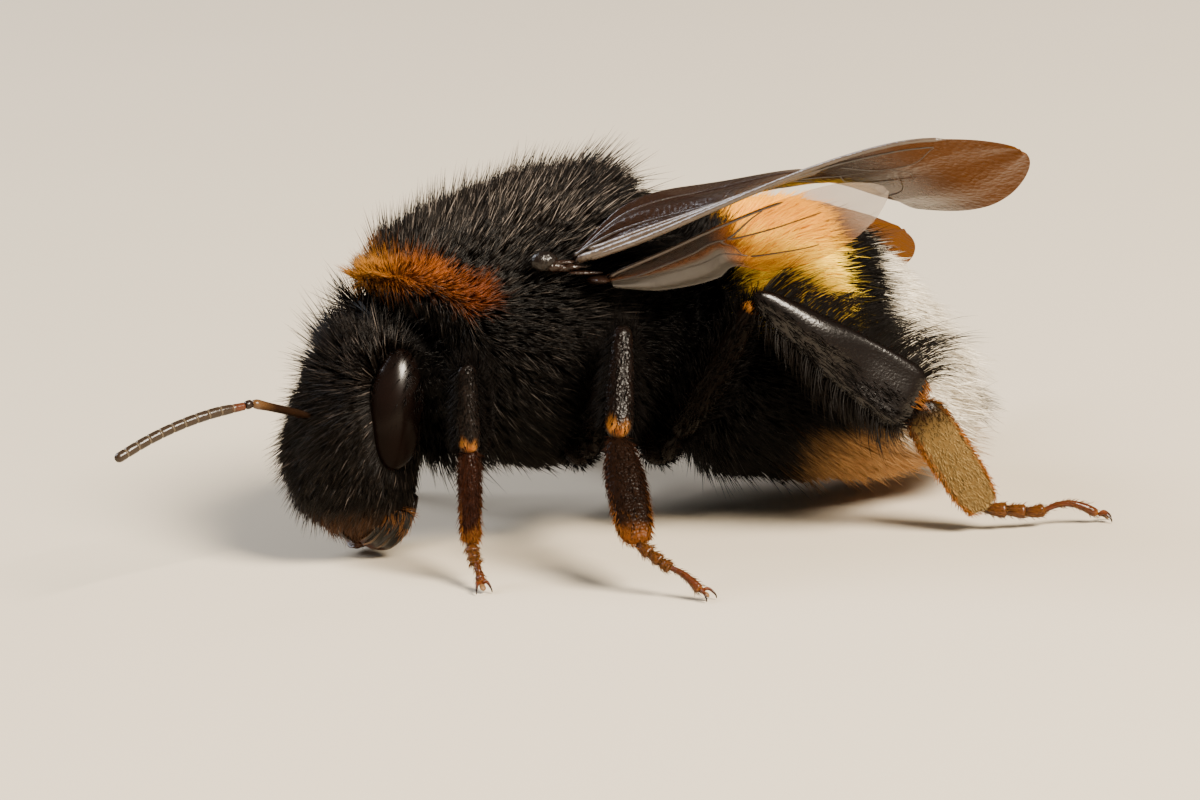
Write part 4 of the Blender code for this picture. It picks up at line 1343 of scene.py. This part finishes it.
def add_leg_coats():
    """Hair of each leg in one piece, by length and by side, and the combs of each hind leg in another."""
    for number, (leg, (made, (heel, toe), facing)) in enumerate(leg_parts.items()):
        pair, side = leg.split("_")
        seed = 100 + 20 * number
        batches, combs = [], []
        upper = 1.0 if side == "right" else -1.0

        def grow(part, count, length, lift, colour, radius=0.014, bend=0.15, density=None, tile=0, pull=None,
                 reach=(0.0, 1.0), tuft=0.25, into=batches):
            surface = made[part][0]
            u, v = scatter(surface, count, seed + tile, density, reach)
            size, drawn = (given(u, v) if callable(given) else given for given in (length, pull))
            droop = bend(u) if callable(bend) else bend
            shade = colour(u, v, surface(u, v)) if callable(colour) else colour
            into.append(hairs(surface, u, v, seed + tile + 9, size, lift, 0.0, droop, radius, shade, drawn,
                              (0.25 * (tile % 4), 0.34 * (tile // 4), 0.24), tuft))

        def rims(u, v, points):
            return step(0.72, 0.92, np.abs(np.cos(v)))

        grow("hip", 350, 0.30, 0.7, BLACK, tile=0)
        grow("ball", 240, 0.26, 0.7, BLACK, tile=1)
        grow("thigh", 1500, lambda u, v: 0.42 + 0.35 * step(0.2, -0.6, np.sin(v)), 0.70, BLACK, 0.015, tile=2)
        if pair == "hind":
            front, back = (made["shin"][0](np.array([0.5]), np.array([turn])) for turn in (0.0, math.pi))
            across = unit(front - back)[0]
            def combed(u, v):
                return 2.0 * np.sign(np.cos(v))[:, None] * across
            def comb_length(u, v):
                return (1.05 + 0.50 * step(0.15, 0.8, u)) * (0.80 + 0.20 * upper * np.cos(v))
            def edges(u, v, points):
                along = step(0.0, 0.05, u) * (1 + 1.2 * step(0.65, 0.3, u))
                over = 0.40 + 0.60 * step(-0.2, 0.2, upper * np.cos(v))
                return step(0.80, 0.93, np.abs(np.cos(v))) * along * over
            def inner(u, v, points):
                return step(-0.1, -0.5, np.sin(v))
            def lower(u, v, points):
                return step(-0.1, 0.4, -upper * np.cos(v)) * step(-0.2, 0.2, np.sin(v))
            def ankle(u, v, points):
                return upper * np.cos(v) > -0.2
            def pile(u, v, points):
                gold = blend("#2a1a10", "#9a8152", step(0.14, 0.40, u))
                gold = blend(gold, "#8a5420", 0.8 * step(0.72, 0.98, np.abs(np.cos(v))))
                return gold * (1 + 0.25 * ripple(points, 0.25, seed)[:, None])
            def rim(u, v, points):
                return blend("#2e1a0e", "#8a521e", step(0.1, 0.45, u))
            grow("shin", 1000, comb_length, 0.75, "#0b0603", 0.0125, lambda u: 0.8 + 0.7 * step(0.3, 0.8, u),
                 edges, 4, combed, (0.02, 0.97), 0.10, combs)
            grow("shin", 700, 0.35, 0.5, BLACK, 0.012, 0.1, inner, 5)
            grow("shin", 500, 0.30, 0.45, BLACK, 0.012, 0.1, lower, 6)
            grow("shin", 110, 0.30, 0.6, "#7a4a1e", 0.010, 0.0, ankle, 7, None, (0.95, 0.985))
            grow("plate", 2700, 0.11, 0.85, pile, 0.0105, 0.1, None, 8, tuft=0.1)
            grow("plate", 600, 0.20, 0.65, rim, 0.011, 0.2, rims, 9)
        else:
            def away(u, v, points):
                return 0.12 + 0.88 * step(0.4, -0.4, np.sin(v))
            def fringe(u, v, points):
                under = 0.3 + 0.7 * step(0.2, -0.2, upper * np.cos(v))
                return rims(u, v, points) * step(0.0, 0.15, u) * under
            def foot(u, v, points):
                return blend("#150b06" if pair == "mid" else "#26120a", "#704418",
                             step(0.70, 1.05, u + 0.12 * ripple(points, 0.4, seed)))
            def edge(u, v, points):
                return blend("#2a160b", "#75461a", step(0.40, 1.00, u))
            grow("shin", 1250, lambda u, v: 0.22 + 0.32 * step(0.3, -0.7, np.sin(v)) * u, 0.55, BLACK, 0.012,
                 0.1, away, 4, None, (0.0, 0.94))
            grow("shin", 260, 0.75 if pair == "mid" else 0.50, 0.75, BLACK, 0.0095, 0.3, fringe, 5, None,
                 (0.0, 0.85), 0.1)
            grow("plate", 1300, 0.14, 0.50, foot, 0.010, 0.1, None, 8, tuft=0.1)
            grow("plate", 450, 0.22, 0.60, edge, 0.011, 0.2, rims, 9)
        for place, (surface, *_) in enumerate(toe_lengths(heel, toe, facing, pair)[:4]):
            u, v = scatter(surface, 110, seed + 12 + place)
            batches.append(hairs(surface, u, v, seed + 16 + place, 0.15, 0.6, 0.0, 0.1, 0.008, "#5f3c17",
                                 tile=(0.5 + 0.12 * place, 0.7, 0.1), tuft=0.1))
        coat("coat_leg_" + leg, batches, 2, dull_hair_finish)
        if combs:
            coat("coat_comb_" + leg, combs, 5)


add_leg_coats()
